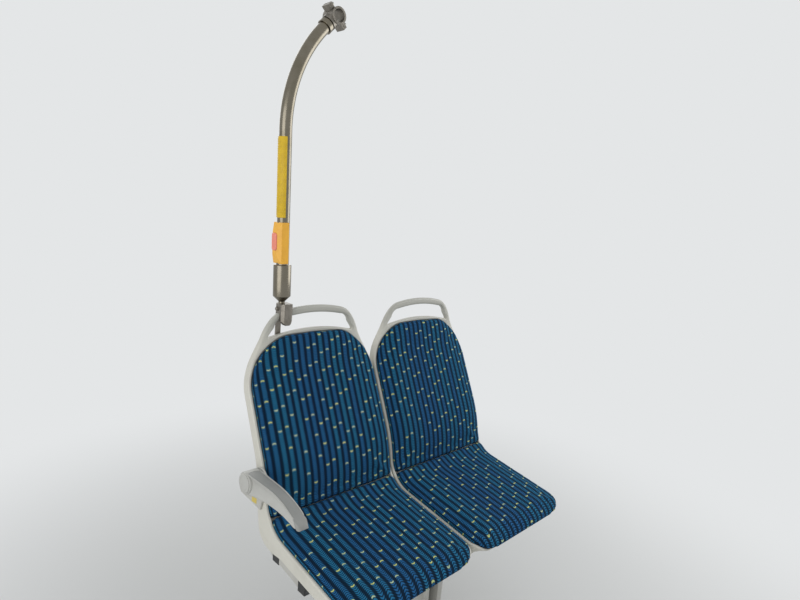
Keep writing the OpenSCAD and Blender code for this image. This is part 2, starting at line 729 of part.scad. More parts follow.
// The room that the handle's bar takes in the clamp
module arch_space() {
    row = [-seat, 0, s_top + seat, front_corner, handle_corner, arch_crown];
    half = half_outline(row, floor_lo, floor_hi);
    right = [for (p = half) if (p[1] > s_tray_top) [p[0], z_at(p[1])]];
    last = len(right) - 1;
    outline = concat(right, [for (j = [last - 1 : -1 : 0]) [-right[j][0], right[j][1]]]);
    translate([aisle_x, jaw_y, 0]) rotate([90, 0, 0])
        linear_extrude(handle_t + 2 * seat) polygon(outline);
}
module at_pole(z) {
    translate([pole_x, pole_y, clamp_top]) rotate([0, -pole_lean, 0])
        translate([0, 0, z - clamp_top]) children();
}
module at_clamp() {
    translate([pole_x + clamp_shift, pole_y - clamp_lead, clamp_foot]) children();
}
module clamp_body() {
    w = clamp_w / 2;
    d = clamp_depth / 2;
    h = clamp_top - clamp_foot;
    c = clamp_chamfer;
    f = clamp_foot_cut;
    e = clamp_edge;
    intersection() {
        at_clamp() linear_extrude(h) polygon([[-w + c, -d], [w - c, -d], [w, -d + c],
            [w, d - c], [w - c, d], [-w + c, d], [-w, d - c], [-w, -d + c]]);
        at_clamp() rotate([90, 0, 0]) translate([0, 0, -d - 1])
            linear_extrude(2 * d + 2) polygon([[-w + f, 0], [w - f, 0], [w, f], [w, h - e],
                [w - e, h], [-w + e, h], [-w, h - e], [-w, f]]);
    }
}
module jaw_room(y0, z1) {
    translate([pole_x - clamp_w, y0, clamp_foot - 1])
        cube([2 * clamp_w, clamp_depth, z1 - clamp_foot + 1]);
}
module handle_clamp() {
    color(clamp_grey) difference() {
        clamp_body();
        arch_space();
        jaw_room(jaw_y - seat, jaw_top);
    }
}
module clamp_jaw() {
    tongue_z = z_at(s_tray_top);
    color(clamp_grey) {
        intersection() {
            clamp_body();
            jaw_room(jaw_y, jaw_top - seat);
        }
        translate([pole_x - tongue_w / 2, jaw_y, tongue_z])
            cube([tongue_w, tongue_t, clamp_foot + clamp_foot_cut - tongue_z]);
    }
}

// The pole stands in a sleeve with a closed cone on a neck, whose foot is cut level
fit = 0.2;
neck_r = 9;
neck_h = 6;
cone_h = 14;
socket_floor = 4;
pole_foot = clamp_top + neck_h + cone_h + socket_floor;
module pole_sleeve() {
    r = sleeve_d / 2;
    bore = pole_r + fit;
    floor_z = pole_foot - clamp_top;
    edge = 2;
    color(steel) difference() {
        at_pole(clamp_top) rotate_extrude() polygon([[0, -edge], [neck_r, -edge],
            [neck_r, neck_h], [r, neck_h + cone_h], [r, sleeve_h - edge],
            [r - edge, sleeve_h], [bore, sleeve_h], [bore, floor_z], [0, floor_z]]);
        translate([pole_x - r, pole_y - r, clamp_top - r]) cube([2 * r, 2 * r, r]);
    }
}
box_gap = 4;
box_z = clamp_top + sleeve_h + box_gap;
insert_gap = 13;
insert_z = box_z + box_h + insert_gap;
bend_z = insert_z + insert_h + bare_l;
module at_top_end(along = 0) {
    at_pole(bend_z) translate([bend_r * (1 - cos(bend_turn)), 0, bend_r * sin(bend_turn)])
        rotate([0, bend_turn, 0]) translate([0, 0, along]) children();
}
// The tube is one skin: rings up its centre line outside, then down it inside.
// A row of the centre line is x, z and the turn there.
tube_sides = 36;
turn_steps = 12;
pole_line = concat([[0, pole_foot - bend_z, 0]],
    [for (k = [0 : turn_steps]) let (a = bend_turn * k / turn_steps)
        [bend_r * (1 - cos(a)), bend_r * sin(a), a]],
    [[bend_r * (1 - cos(bend_turn)) + end_l * sin(bend_turn),
        bend_r * sin(bend_turn) + end_l * cos(bend_turn), bend_turn]]);
function tube_ring(row, r) = [for (k = [0 : tube_sides - 1])
    let (a = 360 * k / tube_sides, out = r * cos(a))
        [row[0] + out * cos(row[2]), r * sin(a), row[1] - out * sin(row[2])]];
module pole_tube() {
    last = len(pole_line) - 1;
    rings = concat([for (row = pole_line) tube_ring(row, pole_r)],
        [for (i = [last : -1 : 0]) tube_ring(pole_line[i], pole_r - pole_wall)]);
    faces = [for (i = [0 : len(rings) - 1]) for (k = [0 : tube_sides - 1])
        let (a = i * tube_sides, b = (i + 1) % len(rings) * tube_sides,
            n = (k + 1) % tube_sides)
                for (face = [[a + k, b + n, a + n], [a + k, b + k, b + n]]) face];
    color(steel) at_pole(bend_z)
        polyhedron([for (ring = rings) for (point = ring) point], faces);
}
module grip_insert() {
    half_turn = 86;
    color("#e3cf1a") at_pole(insert_z) rotate([0, 0, 180 - half_turn])
        rotate_extrude(angle = 2 * half_turn)
            translate([pole_r + fit, 0]) square([insert_t, insert_h]);
}
box_front = 27;
box_back = 8;
box_w = 41;
box_chamfer = 26;
front_chamfer = 10;
back_chamfer = 3;
button_seat = 3;
button_t = 6;
button_up = 4;
button_corner = 6;
module button_outline(room) {
    r = button_corner;
    offset(r + room) square([button_h - 2 * r, button_w - 2 * r], center = true);
}
module at_button(depth) {
    at_pole(box_z + box_h / 2 + button_up) rotate([0, -90, 0])
        translate([0, 0, box_front - button_seat]) linear_extrude(depth) children();
}
module stop_box() {
    w = box_w / 2;
    f = front_chamfer;
    b = back_chamfer;
    color("#e8a020") difference() {
        intersection() {
            at_pole(box_z) linear_extrude(box_h) polygon([[-box_front, -w + f],
                [-box_front, w - f], [-box_front + f, w], [box_back - b, w],
                [box_back, w - b], [box_back, -w + b], [box_back - b, -w],
                [-box_front + f, -w]]);
            at_pole(box_z) rotate([90, 0, 0]) translate([0, 0, -box_w])
                linear_extrude(2 * box_w) polygon([[-box_front + f, 0], [box_back, 0],
                    [box_back, box_h], [-box_front + f, box_h],
                    [-box_front, box_h - box_chamfer], [-box_front, box_chamfer]]);
        }
        at_pole(box_z - 1) cylinder(r = pole_r + fit, h = box_h + 2);
        at_button(2 * button_t) button_outline(seat);
    }
}
module stop_button() {
    color("#d42a2a") at_button(button_t) button_outline(0);
}

// The collar on the pole's top end and the clamp round the ceiling rail
collar_t = 4;
collar_h = 14;
collar_gap = 4;
module pole_collar() {
    color(steel) at_top_end(end_l - collar_gap - collar_h) difference() {
        cylinder(r = pole_r + collar_t, h = collar_h);
        translate([0, 0, -1]) cylinder(r = pole_r + fit, h = collar_h + 2);
    }
}
rail_r = rail_d / 2;
rail_wall = 6;
rail_off = rail_r + rail_wall + 7;
lug_w = 15;
lug_t = 7;
half_room = 60;
module rail_ring() {
    r = rail_r + rail_wall;
    rotate([90, 0, 0]) translate([0, 0, -rail_clamp_l / 2])
        cylinder(r = r, h = rail_clamp_l);
    translate([-r - lug_w, -rail_clamp_l / 3, -lug_t])
        cube([2 * (r + lug_w), 2 * rail_clamp_l / 3, 2 * lug_t]);
}
module rail_bore() {
    rotate([90, 0, 0]) translate([0, 0, -rail_clamp_l])
        cylinder(r = rail_r, h = 2 * rail_clamp_l);
}
module rail_clamp() {
    color(clamp_grey) at_top_end(end_l) difference() {
        union() {
            cylinder(r = pole_r + collar_t, h = rail_off - rail_r);
            translate([0, 0, rail_off]) intersection() {
                rail_ring();
                translate([-half_room, -half_room, -half_room])
                    cube([2 * half_room, 2 * half_room, half_room]);
            }
        }
        translate([0, 0, rail_off]) rail_bore();
    }
}
module rail_clamp_cap() {
    color(clamp_grey) at_top_end(end_l + rail_off) difference() {
        intersection() {
            rail_ring();
            translate([-half_room, -half_room, seat])
                cube([2 * half_room, 2 * half_room, half_room]);
        }
        rail_bore();
    }
}

aisle_shell();
window_shell();
aisle_seat_pad();
window_seat_pad();
aisle_back_pad();
window_back_pad();
seat_rails();
rubber_blocks();
front_cross_tube();
rear_cross_tube();
tube_caps();
wall_bracket();
left_leg();
right_leg();
armrest_bracket();
armrest_pin();
armrest_arm();
armrest_pad();
armrest_cap();
handle_clamp();
clamp_jaw();
pole_sleeve();
pole_tube();
grip_insert();
stop_box();
stop_button();
pole_collar();
rail_clamp();
rail_clamp_cap();
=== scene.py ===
from math import ceil, cos, pi, radians, sin, sqrt

import bmesh
import bpy
import numpy as np
from mathutils import Matrix, Vector


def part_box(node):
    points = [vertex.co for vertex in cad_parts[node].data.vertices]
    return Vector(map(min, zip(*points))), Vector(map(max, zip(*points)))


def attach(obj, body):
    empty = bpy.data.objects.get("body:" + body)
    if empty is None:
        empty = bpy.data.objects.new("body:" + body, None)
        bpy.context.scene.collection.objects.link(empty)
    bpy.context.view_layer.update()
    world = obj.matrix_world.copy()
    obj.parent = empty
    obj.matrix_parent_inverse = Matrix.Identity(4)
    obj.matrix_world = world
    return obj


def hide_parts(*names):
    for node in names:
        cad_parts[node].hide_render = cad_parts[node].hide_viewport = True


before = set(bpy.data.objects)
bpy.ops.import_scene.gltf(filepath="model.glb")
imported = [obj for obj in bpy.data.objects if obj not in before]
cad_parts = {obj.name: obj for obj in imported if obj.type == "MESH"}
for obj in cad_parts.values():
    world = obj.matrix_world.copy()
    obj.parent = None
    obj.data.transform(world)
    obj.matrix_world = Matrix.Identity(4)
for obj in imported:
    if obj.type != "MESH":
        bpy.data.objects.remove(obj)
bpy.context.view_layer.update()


# Pedestal: two pressed steel legs with folded edges, welded under the inner seat rails.
# Light grey powder coat over 5 mm sheet; the edges are rounded by the press and the coat.
def linear(code):
    """An sRGB hex colour as the linear colour that a socket takes."""
    parts = [int(code[i:i + 2], 16) / 255 for i in (1, 3, 5)]
    return [p / 12.92 if p <= 0.04045 else ((p + 0.055) / 1.055) ** 2.4 for p in parts] + [1]


def add(tree, kind, inputs=None, **settings):
    """Adds a node with its settings; an input is a value, an output that feeds it, or a
    node whose first output does."""
    node = tree.nodes.new(kind)
    for name, value in settings.items():
        setattr(node, name, value)
    for socket, given in (inputs or {}).items():
        if isinstance(given, bpy.types.Node):
            given = given.outputs[0]
        if isinstance(given, bpy.types.NodeSocket):
            tree.links.new(given, node.inputs[socket])
        else:
            node.inputs[socket].default_value = given
    return node


def finish(name, inputs):
    """A new material whose shader has these inputs; returns it, its nodes and its shader."""
    material = bpy.data.materials.new(name)
    material.use_nodes = True
    shader = material.node_tree.nodes["Principled BSDF"]
    for socket, value in inputs.items():
        shader.inputs[socket].default_value = value
    return material, material.node_tree, shader


def mottled(name, inputs, clean, soiled, cloud, share, grain=0, depth=0, strength=1.0,
            stretch=(1, 1, 1)):
    """A finish with clouds of a soiled tint over its clean colour and a bumped grain. The
    sizes of cloud and grain and the grain's depth are real ones in metres."""
    material, tree, shader = finish(name, inputs)
    place = add(tree, "ShaderNodeTexCoord").outputs["Object"]
    clouds = add(tree, "ShaderNodeTexNoise", {
        "Vector": place, "Scale": 1 / cloud, "Detail": 4, "Roughness": 0.6})
    spread = add(tree, "ShaderNodeMapRange", {
        "Value": clouds, "From Min": 0.42, "From Max": 0.72, "To Max": share})
    tint = add(tree, "ShaderNodeMix", {
        0: spread, 6: linear(clean), 7: linear(soiled)}, data_type="RGBA")
    tree.links.new(tint.outputs[2], shader.inputs["Base Color"])
    if grain:
        scaled = add(tree, "ShaderNodeMapping", {"Vector": place, "Scale": stretch})
        noise = add(tree, "ShaderNodeTexNoise", {
            "Vector": scaled, "Scale": 1 / grain, "Detail": 2})
        bump = add(tree, "ShaderNodeBump", {
            "Height": noise, "Strength": strength, "Distance": depth})
        tree.links.new(bump.outputs["Normal"], shader.inputs["Normal"])
    return material


def shown(name, data):
    """A new object in the scene that holds the data."""
    item = bpy.data.objects.new(name, data)
    bpy.context.scene.collection.objects.link(item)
    return item


def placed(name, mesh, material, body, slot, *nodes):
    """A finished piece, riding on its body and standing for CAD nodes."""
    piece = shown(name, mesh)
    mesh.materials.clear()
    mesh.materials.append(material)
    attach(piece, body)
    if nodes:
        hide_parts(*nodes)
    return piece


def bare(name, points, faces=()):
    """A new mesh of points and faces as they are."""
    mesh = bpy.data.meshes.new(name)
    mesh.from_pydata([tuple(p) for p in points], [], faces)
    return mesh


def as_mesh(name, points, faces, sharp=38, merge=0):
    """A mesh of points and faces, smooth but for edges sharper than the given degrees;
    points nearer than merge become one."""
    mesh = bare(name, points, faces)
    shape = bmesh.new()
    shape.from_mesh(mesh)
    if merge:
        bmesh.ops.remove_doubles(shape, verts=shape.verts, dist=merge)
        bmesh.ops.dissolve_degenerate(shape, dist=merge / 10, edges=shape.edges)
    bmesh.ops.recalc_face_normals(shape, faces=shape.faces)
    shape.to_mesh(mesh)
    shape.free()
    mesh.shade_smooth()
    mesh.set_sharp_from_angle(angle=radians(sharp))
    return mesh


def from_cad(node, material, slot, width):
    """A CAD node with its flat faces joined again and its edges rounded to a width."""
    shape = bmesh.new()
    shape.from_mesh(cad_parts[node].data)
    bmesh.ops.remove_doubles(shape, verts=shape.verts, dist=2e-6)
    bmesh.ops.dissolve_limit(
        shape, angle_limit=radians(0.4), verts=shape.verts, edges=shape.edges)
    points = [v.co.copy() for v in shape.verts]
    faces = [[v.index for v in f.verts] for f in shape.faces]
    shape.free()
    name = node + "_piece"
    piece = placed(name, as_mesh(name, points, faces), material, "root", slot, node)
    edge = piece.modifiers.new("Rounded edges", "BEVEL")
    edge.width, edge.segments = width, 3
    edge.limit_method, edge.angle_limit = "ANGLE", radians(34)
    edge.harden_normals = True


# Baked powder coat: satin, with an orange peel of about 2.5 mm and rubbed-in dust.
coat = {"Roughness": 0.42, "Specular IOR Level": 0.5}
peel = {"cloud": 0.09, "share": 0.5, "grain": 0.0025, "depth": 0.00012}
grey_coat = mottled("powder_coat_light_grey", coat, "#b4b3ad", "#8f8d86", **peel)
sheet_edge = 0.0012
for leg in ("left_leg", "right_leg"):
    from_cad(leg, grey_coat, "rail_paint", sheet_edge)


# Bolts: zinc-plated hex heads on washers, in the pedestal's feet and in the wall plate.
# They are laid on points by one node tree, whose sizes are the heads' real sizes.
# Zinc plate is a dull bluish metal, its passivation faintly yellow in clouds.
zinc_plate = mottled("zinc_plated_steel", {"Metallic": 1.0, "Roughness": 0.38}, "#a9aba9",
                     "#8f8a78", cloud=0.006, share=0.7, grain=0.0015, depth=0.00005)


def tree_on_points(name, sizes):
    """A new node tree that takes points, the named sizes and a finish; and its inputs."""
    tree = bpy.data.node_groups.new(name, "GeometryNodeTree")
    tree.interface.new_socket("Geometry", in_out="OUTPUT", socket_type="NodeSocketGeometry")
    for label, kind in {"Points": "Geometry", **sizes, "Finish": "Material"}.items():
        tree.interface.new_socket(label, in_out="INPUT", socket_type="NodeSocket" + kind)
    return tree, add(tree, "NodeGroupInput").outputs


def set_on_points(tree, given, head, turn):
    """Ends a tree: the head on each point, made real and given its finish."""
    spread = add(tree, "GeometryNodeInstanceOnPoints", {
        "Points": given["Points"], "Instance": head, "Rotation": turn})
    real = add(tree, "GeometryNodeRealizeInstances", {0: spread})
    dressed = add(tree, "GeometryNodeSetMaterial", {
        "Geometry": real, "Material": given["Finish"]})
    add(tree, "NodeGroupOutput", {0: dressed})
    return tree


def disc(tree, sides, radius, low, high, shrink):
    """A closed disc from low to high, its top rim drawn in by the shrink factor."""
    ring = add(tree, "GeometryNodeMeshCircle", {"Vertices": sides, "Radius": radius},
               fill_type="NGON")
    lift = add(tree, "ShaderNodeCombineXYZ", {"Z": low})
    base = add(tree, "GeometryNodeTransform", {"Geometry": ring, "Translation": lift})
    under = add(tree, "GeometryNodeFlipFaces", {"Mesh": base})
    tall = add(tree, "ShaderNodeMath", {0: high, 1: low}, operation="SUBTRACT")
    wall, edge = [add(tree, "ShaderNodeMath", {0: tall, 1: share}, operation="MULTIPLY")
                  for share in (0.8, 0.2)]
    side = add(tree, "GeometryNodeExtrudeMesh", {"Mesh": base, "Offset Scale": wall},
               mode="FACES")
    top = add(tree, "GeometryNodeExtrudeMesh", {
        "Mesh": side, "Selection": side.outputs["Top"], "Offset Scale": edge}, mode="FACES")
    drawn = add(tree, "GeometryNodeScaleElements", {
        "Geometry": top, "Selection": top.outputs["Top"], "Scale": shrink})
    both = add(tree, "GeometryNodeJoinGeometry", {0: under})
    tree.links.new(drawn.outputs[0], both.inputs[0])
    return add(tree, "GeometryNodeMergeByDistance", {"Geometry": both, "Distance": 1e-5})


screws, given = tree_on_points("Screws on points", {
    "Head radius": "Float", "Head height": "Float", "Washer radius": "Float",
    "Washer thickness": "Float", "Turn": "Rotation", "Sides": "Int"})
reach = add(screws, "ShaderNodeMath", {0: given["Washer thickness"], 1: given["Head height"]},
            operation="ADD")
washer = disc(screws, 28, given["Washer radius"], 0.0, given["Washer thickness"], 0.95)
head = disc(screws, given["Sides"], given["Head radius"], given["Washer thickness"],
            reach, 0.86)
both = add(screws, "GeometryNodeJoinGeometry", {0: washer})
screws.links.new(head.outputs[0], both.inputs[0])
set_on_points(screws, given, both, given["Turn"])


def plain(piece):
    """The mesh that a piece's modifiers make of it."""
    return bpy.data.meshes.new_from_object(
        piece.evaluated_get(bpy.context.evaluated_depsgraph_get()))


def grown(name, mesh, tree, values, slot):
    """Runs a node tree on a mesh and keeps its result as a plain piece."""
    source = shown(name + "_source", mesh)
    step = source.modifiers.new("Tree", "NODES")
    step.node_group = tree
    for item in tree.interface.items_tree:
        if item.in_out == "INPUT" and item.name in values:
            step[item.identifier] = values[item.name]
    made = plain(source)
    source.modifiers.remove(step)
    bpy.data.objects.remove(source)
    made.name = name
    made.shade_smooth()
    made.set_sharp_from_angle(angle=radians(30))
    return placed(name, made, values["Finish"], "root", slot)


def set_screws(name, spots, turn, head, height, washer, sides=6, metal=zinc_plate,
               slot="pin_steel"):
    """Screw heads at the given spots, all turned one way, their sizes in metres."""
    grown(name, bare(name + "_spots", spots), screws, {
        "Head radius": head, "Head height": height, "Washer radius": washer,
        "Washer thickness": 0.0018, "Turn": turn, "Sides": sides, "Finish": metal}, slot)


foot_top, foot_x, foot_y = 0.005, 0.120, 0.100
feet = [(x, y, foot_top) for x in (-foot_x, foot_x) for y in (-foot_y, foot_y)]
set_screws("floor_bolts", feet, (0, 0, 0), head=0.0095, height=0.0065, washer=0.0105)


# Under frame: two square steel tubes, painted dark grey, run from the wall plate through
# the rails' notches; black plastic plugs close their aisle ends. Rubber blocks on the
# light grey rails carry the shells.
dark_coat = mottled("powder_coat_dark_grey", coat, "#3a3c3f", "#5a5954", **peel)
tube_edge, block_edge = 0.0015, 0.001
for node in ("front_cross_tube", "rear_cross_tube", "wall_bracket"):
    from_cad(node, dark_coat, "frame_paint", tube_edge)
wall_low, wall_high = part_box("wall_bracket")
wall_mid = (wall_low + wall_high) / 2
bolt_y, bolt_z = 0.093, 0.025
bolts = [(wall_low.x, wall_mid.y + y * bolt_y, wall_mid.z + z * bolt_z)
         for y in (-1, 1) for z in (-1, 1)]
set_screws("wall_bolts", bolts, (0, -pi / 2, 0), head=0.0075, height=0.0053, washer=0.0085)
# Black mouldings: soot-dark and matt, greyed by dust in clouds of some centimetres. The dark
# grey on the tubes' end caps is partly painted shade over the tube ends.
plugs, rubber = [
    mottled(name, {"Roughness": roughness}, black, "#3a3936", cloud=0.04, share=0.5,
            grain=0.0012, depth=0.00008)
    for name, black, roughness in (("polypropylene_black_and_end_shade", "#2a2b2c", 0.55),
                                   ("moulded_rubber", "#121212", 0.8))]
from_cad("tube_caps", plugs, "black_plastic", block_edge)
from_cad("rubber_blocks", rubber, "black_rubber", block_edge)
from_cad("seat_rails", grey_coat, "rail_paint", tube_edge)


# Seat shells: one injection-moulded tray for each seat, with a rounded rim, side flanges
# that turn down and a handle plate over the back. Its curves follow the moulding's side
# line, whose rows are length and turn; all sizes are the moulding's own, in metres.
shell_w, seat_gap, seat_h, pan_rear_y = 0.456, 0.004, 0.452, 0.020
pan_l, pan_tilt, lip_r, lip_turn = 0.272, 9, 0.031, 66
hip_r, hip_turn, lumbar_l, lumbar_turn = 0.099, 71, 0.117, 15
lean_l, upper_l, top_l = 0.196, 0.130, 0.046
wall, rim_w, pan_tray, back_tray = 0.004, 0.009, 0.020, 0.014
pan_flange, knee_flange, back_flange, front_corner = 0.032, 0.068, 0.027, 0.060
handle_w, handle_corner, arch_crown, arch_bar = 0.324, 0.056, 0.030, 0.022
slot_h, slot_w, lower_bar, handle_t, shoulder_l = 0.046, 0.314, 0.0115, 0.018, 0.200
side_line = [(lip_r * radians(lip_turn), -lip_turn), (pan_l, 0),
             (hip_r * radians(hip_turn), hip_turn), (lumbar_l, -lumbar_turn),
             (lean_l, 0), (upper_l, 90 - pan_tilt - hip_turn + lumbar_turn), (top_l, 0)]
ends = np.cumsum([0] + [row[0] for row in side_line])
s_pan, s_hip, s_lumbar, s_lean, s_upper = ends[1:6]
s_top = ends[7]
seat_x = (shell_w + seat_gap) / 2
lip_head = radians(pan_tilt + lip_turn)
line_start = (pan_rear_y - pan_l * cos(radians(pan_tilt))
              - lip_r * (sin(lip_head) - sin(radians(pan_tilt))),
              seat_h - pan_l * sin(radians(pan_tilt))
              - lip_r * (cos(radians(pan_tilt)) - cos(lip_head)), pan_tilt + lip_turn)


def moved(point, length, turn):
    """A point (y, z, heading) moved on along an arc of the given length and turn."""
    y, z, heading = point
    if abs(turn) < 0.01:
        return (y + length * cos(radians(heading)), z + length * sin(radians(heading)),
                heading)
    radius, new = length / radians(turn), heading + turn
    return (y + radius * (sin(radians(new)) - sin(radians(heading))),
            z - radius * (cos(radians(new)) - cos(radians(heading))), new)


def on_line(s):
    """The point (y, z, heading) at length s along the side line."""
    point = line_start
    for i, (length, turn) in enumerate(side_line):
        if s <= length or i == len(side_line) - 1:
            return moved(point, s, turn * s / length)
        point, s = moved(point, length, turn), s - length


def bent(x, s, depth):
    """The point in space at x across, s along the side line and a depth under the rim."""
    y, z, heading = on_line(s)
    return x, y + depth * sin(radians(heading)), z - depth * cos(radians(heading))


def half_at(s):
    """Half the shell's width at length s, with the shoulders' taper."""
    t = min(1, max(0, (s - s_top + shoulder_l) / shoulder_l))
    return shell_w / 2 - (shell_w - handle_w) / 2 * (1 - cos(pi * t)) / 2


def corner_cut(d, r):
    """Width lost to a round corner of radius r at distance d from the end."""
    return 0 if d >= r else r - sqrt(max(0, r * r - (r - d) ** 2))


def crowned(rise, x, half):
    """Rise of a crowned edge at x from its middle, down to nothing at half a width."""
    return rise * max(0, 1 - (x / half) ** 2)


steps_across, steps_round, step_along, front_bulge = 9, 16, 0.011, 0.001


def half_outline(row, lo, hi):
    """Right half of an outline in the flat, from front to top, as (x, s) points."""
    inset, front, top, front_r, top_r, rise = row

    def x_of(s):
        return half_at(s) - inset - corner_cut(s - front, front_r) - corner_cut(top - s, top_r)
    x0, x1, x_side = x_of(front), x_of(top), x_of(top - top_r)
    run = [(x0 * k / steps_across, front - front_bulge * (1 - (k / steps_across) ** 2))
           for k in range(steps_across)]
    for k in range(steps_round):
        s = front + (lo - front) * (1 - cos(pi / 2 * k / steps_round))
        run.append((x_of(s), s))
    count = ceil((hi - lo) / step_along)
    run += [(x_of(s), s) for s in np.linspace(lo, hi, count + 1)[:-1]]
    for k in range(steps_round + 1):
        s = hi + (top - hi) * sin(pi / 2 * k / steps_round)
        run.append((x_of(s), s + crowned(rise, x_of(s), x_side)))
    run += [(x1 * k / steps_across, top + crowned(rise, x1 * k / steps_across, x_side))
            for k in range(steps_across - 1, -1, -1)]
    return run


def drawn_in(half, amount):
    """The outline drawn in by amount(s), square to its own line."""
    points = np.array(half)
    along = np.gradient(points, axis=0)
    along[0], along[-1] = (1, 0), (-1, 0)
    along /= np.linalg.norm(along, axis=1)[:, None]
    inward = np.column_stack([-along[:, 1], along[:, 0]])
    return [(p[0] + n[0] * amount(p[1]), p[1] + n[1] * amount(p[1]))
            for p, n in zip(points, inward)]


def loop(half, depth):
    """A closed loop in space, its depth given by a function of s."""
    right = [bent(x, s, depth(s)) for x, s in half]
    left = [bent(-x, s, depth(s)) for x, s in half[-2:0:-1]]
    return right + left


def ring_faces(count, m, closed=False):
    """Faces between rings of m points each; a closed run joins the last to the first."""
    faces = []
    for k in range(count if closed else count - 1):
        a, b = k * m, (k + 1) % count * m
        faces += [[a + j, a + (j + 1) % m, b + (j + 1) % m, b + j] for j in range(m)]
    return faces


def skin(loops, columns=8):
    """Points and faces of a closed skin, its first and last loop filled across X."""
    m = len(loops[0])
    points = [p for ring in loops for p in ring]
    faces = ring_faces(len(loops), m)
    for base, way in ((0, 1), ((len(loops) - 1) * m, -1)):
        rows = []
        for j in range(1, m // 2):
            right, left = base + j, base + (m - j) % m
            rows.append([right])
            for t in range(1, columns):
                rows[-1].append(len(points))
                points.append(tuple(a * (1 - t / columns) + b * t / columns
                                    for a, b in zip(points[right], points[left])))
            rows[-1].append(left)
        for a, b in zip(rows, rows[1:]):
            faces += [[a[c], a[c + 1], b[c + 1], b[c]][::way] for c in range(columns)]
        faces += [[base] + rows[0], [base + m // 2] + rows[-1]]
    return points, faces


def eased(s, a, b, low, high):
    """A value that turns smoothly from low at a to high at b."""
    t = min(1, max(0, (s - a) / (b - a)))
    return low + (high - low) * t * t * (3 - 2 * t)


tray_crown, tray_corner, tray_front, lip_depth = 0.010, 0.076, 0.004, 0.008
s_tray_top = s_top + arch_crown - arch_bar - slot_h - lower_bar - tray_crown
edge_tray, top_tray, hip_l = back_tray / 2, back_tray / 2 + 0.003, s_lumbar - s_hip
floor_inset, tray_draft = 0.045, 0.0015
floor_lo, floor_hi = front_corner + 0.006, s_tray_top - tray_corner - 0.003


def softened(rows, width):
    """Rows of (s, depth) as a function of s, their kinks eased over a width."""
    step = 0.002
    s = np.arange(-width, s_top + width, step)
    depth = np.interp(s, *np.array(rows).T)
    box = np.ones(int(width / step) | 1)
    smooth = np.convolve(np.pad(depth, len(box) // 2, mode="edge"), box / box.sum(), "valid")
    return lambda at: float(np.interp(at, s, smooth))


# The flange is deepest at the hip, where it hides the seat rail.
flange_ease, tray_ease = 0.024, 0.01
flange_depth = softened([
    (0, lip_depth + wall), (s_pan, pan_flange), (s_hip, pan_flange + 2 * wall),
    (s_hip + 0.22 * hip_l, 0.84 * knee_flange), (s_hip + 0.44 * hip_l, knee_flange),
    (s_hip + 0.56 * hip_l, 0.95 * knee_flange), (s_hip + 0.7 * hip_l, 0.72 * knee_flange),
    (s_lumbar, 1.45 * back_flange), (s_lean, back_flange), (s_upper, back_flange),
    (s_tray_top - 0.06, back_flange), (s_tray_top, handle_t),
    (s_top + arch_crown, handle_t)], flange_ease)
tray_start = [(0, lip_depth), (s_pan, pan_tray), (s_lumbar, pan_tray)]
mid_depth = softened(tray_start + [(s_lean, back_tray), (s_upper, back_tray),
                                   (s_tray_top, top_tray)], tray_ease)
edge_depth = softened(tray_start + [(s_lean, edge_tray), (s_tray_top, edge_tray)], tray_ease)


def shell_skin():
    """The shell's skin, without the slot: its under side, flange, rounded rim and tray."""
    base = half_outline((0, 0, s_top, front_corner, handle_corner, arch_crown),
                        floor_lo, floor_hi)
    handle_a, handle_b = s_tray_top - 0.075, s_tray_top + 0.02
    rim_round, rear_round, handle_round, inner = 0.0045, 0.0012, 0.0075, 0.0022

    def rim_r(s):
        return eased(s, handle_a, handle_b, rim_round, handle_round)

    def rear_r(s):
        return eased(s, handle_a, handle_b, rear_round, handle_round)

    def tray(inset, front, depth):
        row = (inset, front, s_tray_top - inset + rim_w, front_corner - 0.004, tray_corner,
               tray_crown)
        return loop(half_outline(row, floor_lo, floor_hi), depth)
    loops = [tray(floor_inset, floor_inset, lambda s: mid_depth(s) + wall),
             tray(rim_w + 0.006, rim_w, lambda s: edge_depth(s) + wall + 0.001),
             tray(rim_w + 0.002, rim_w - 0.001, lambda s: edge_depth(s) + wall - 0.0005),
             loop(drawn_in(base, lambda s: max(wall, rear_r(s) + 0.001)), flange_depth)]
    for a in np.radians((90, 68, 45, 22, 0)):
        edge = drawn_in(base, lambda s: rear_r(s) * (1 - cos(a)))
        loops.append(loop(edge, lambda s: flange_depth(s) - rear_r(s) * (1 - sin(a))))
    for a in np.radians((0, 18, 36, 54, 72, 90)):
        edge = drawn_in(base, lambda s: rim_r(s) * (1 - cos(a)))
        loops.append(loop(edge, lambda s: rim_r(s) * (1 - sin(a))))
    for a in np.radians((90, 60, 30, 0)):
        back, drop = inner * (1 - cos(a)), inner * (1 - sin(a))
        loops.append(tray(rim_w - back + 0.0004, tray_front - back, lambda s: drop))
    loops.append(tray(rim_w + tray_draft, tray_front + tray_draft, edge_depth))
    loops.append(tray(floor_inset, floor_inset, mid_depth))
    return skin(loops)


def z_at(s):
    """Height of the rim at length s."""
    return bent(0, s, 0)[2]


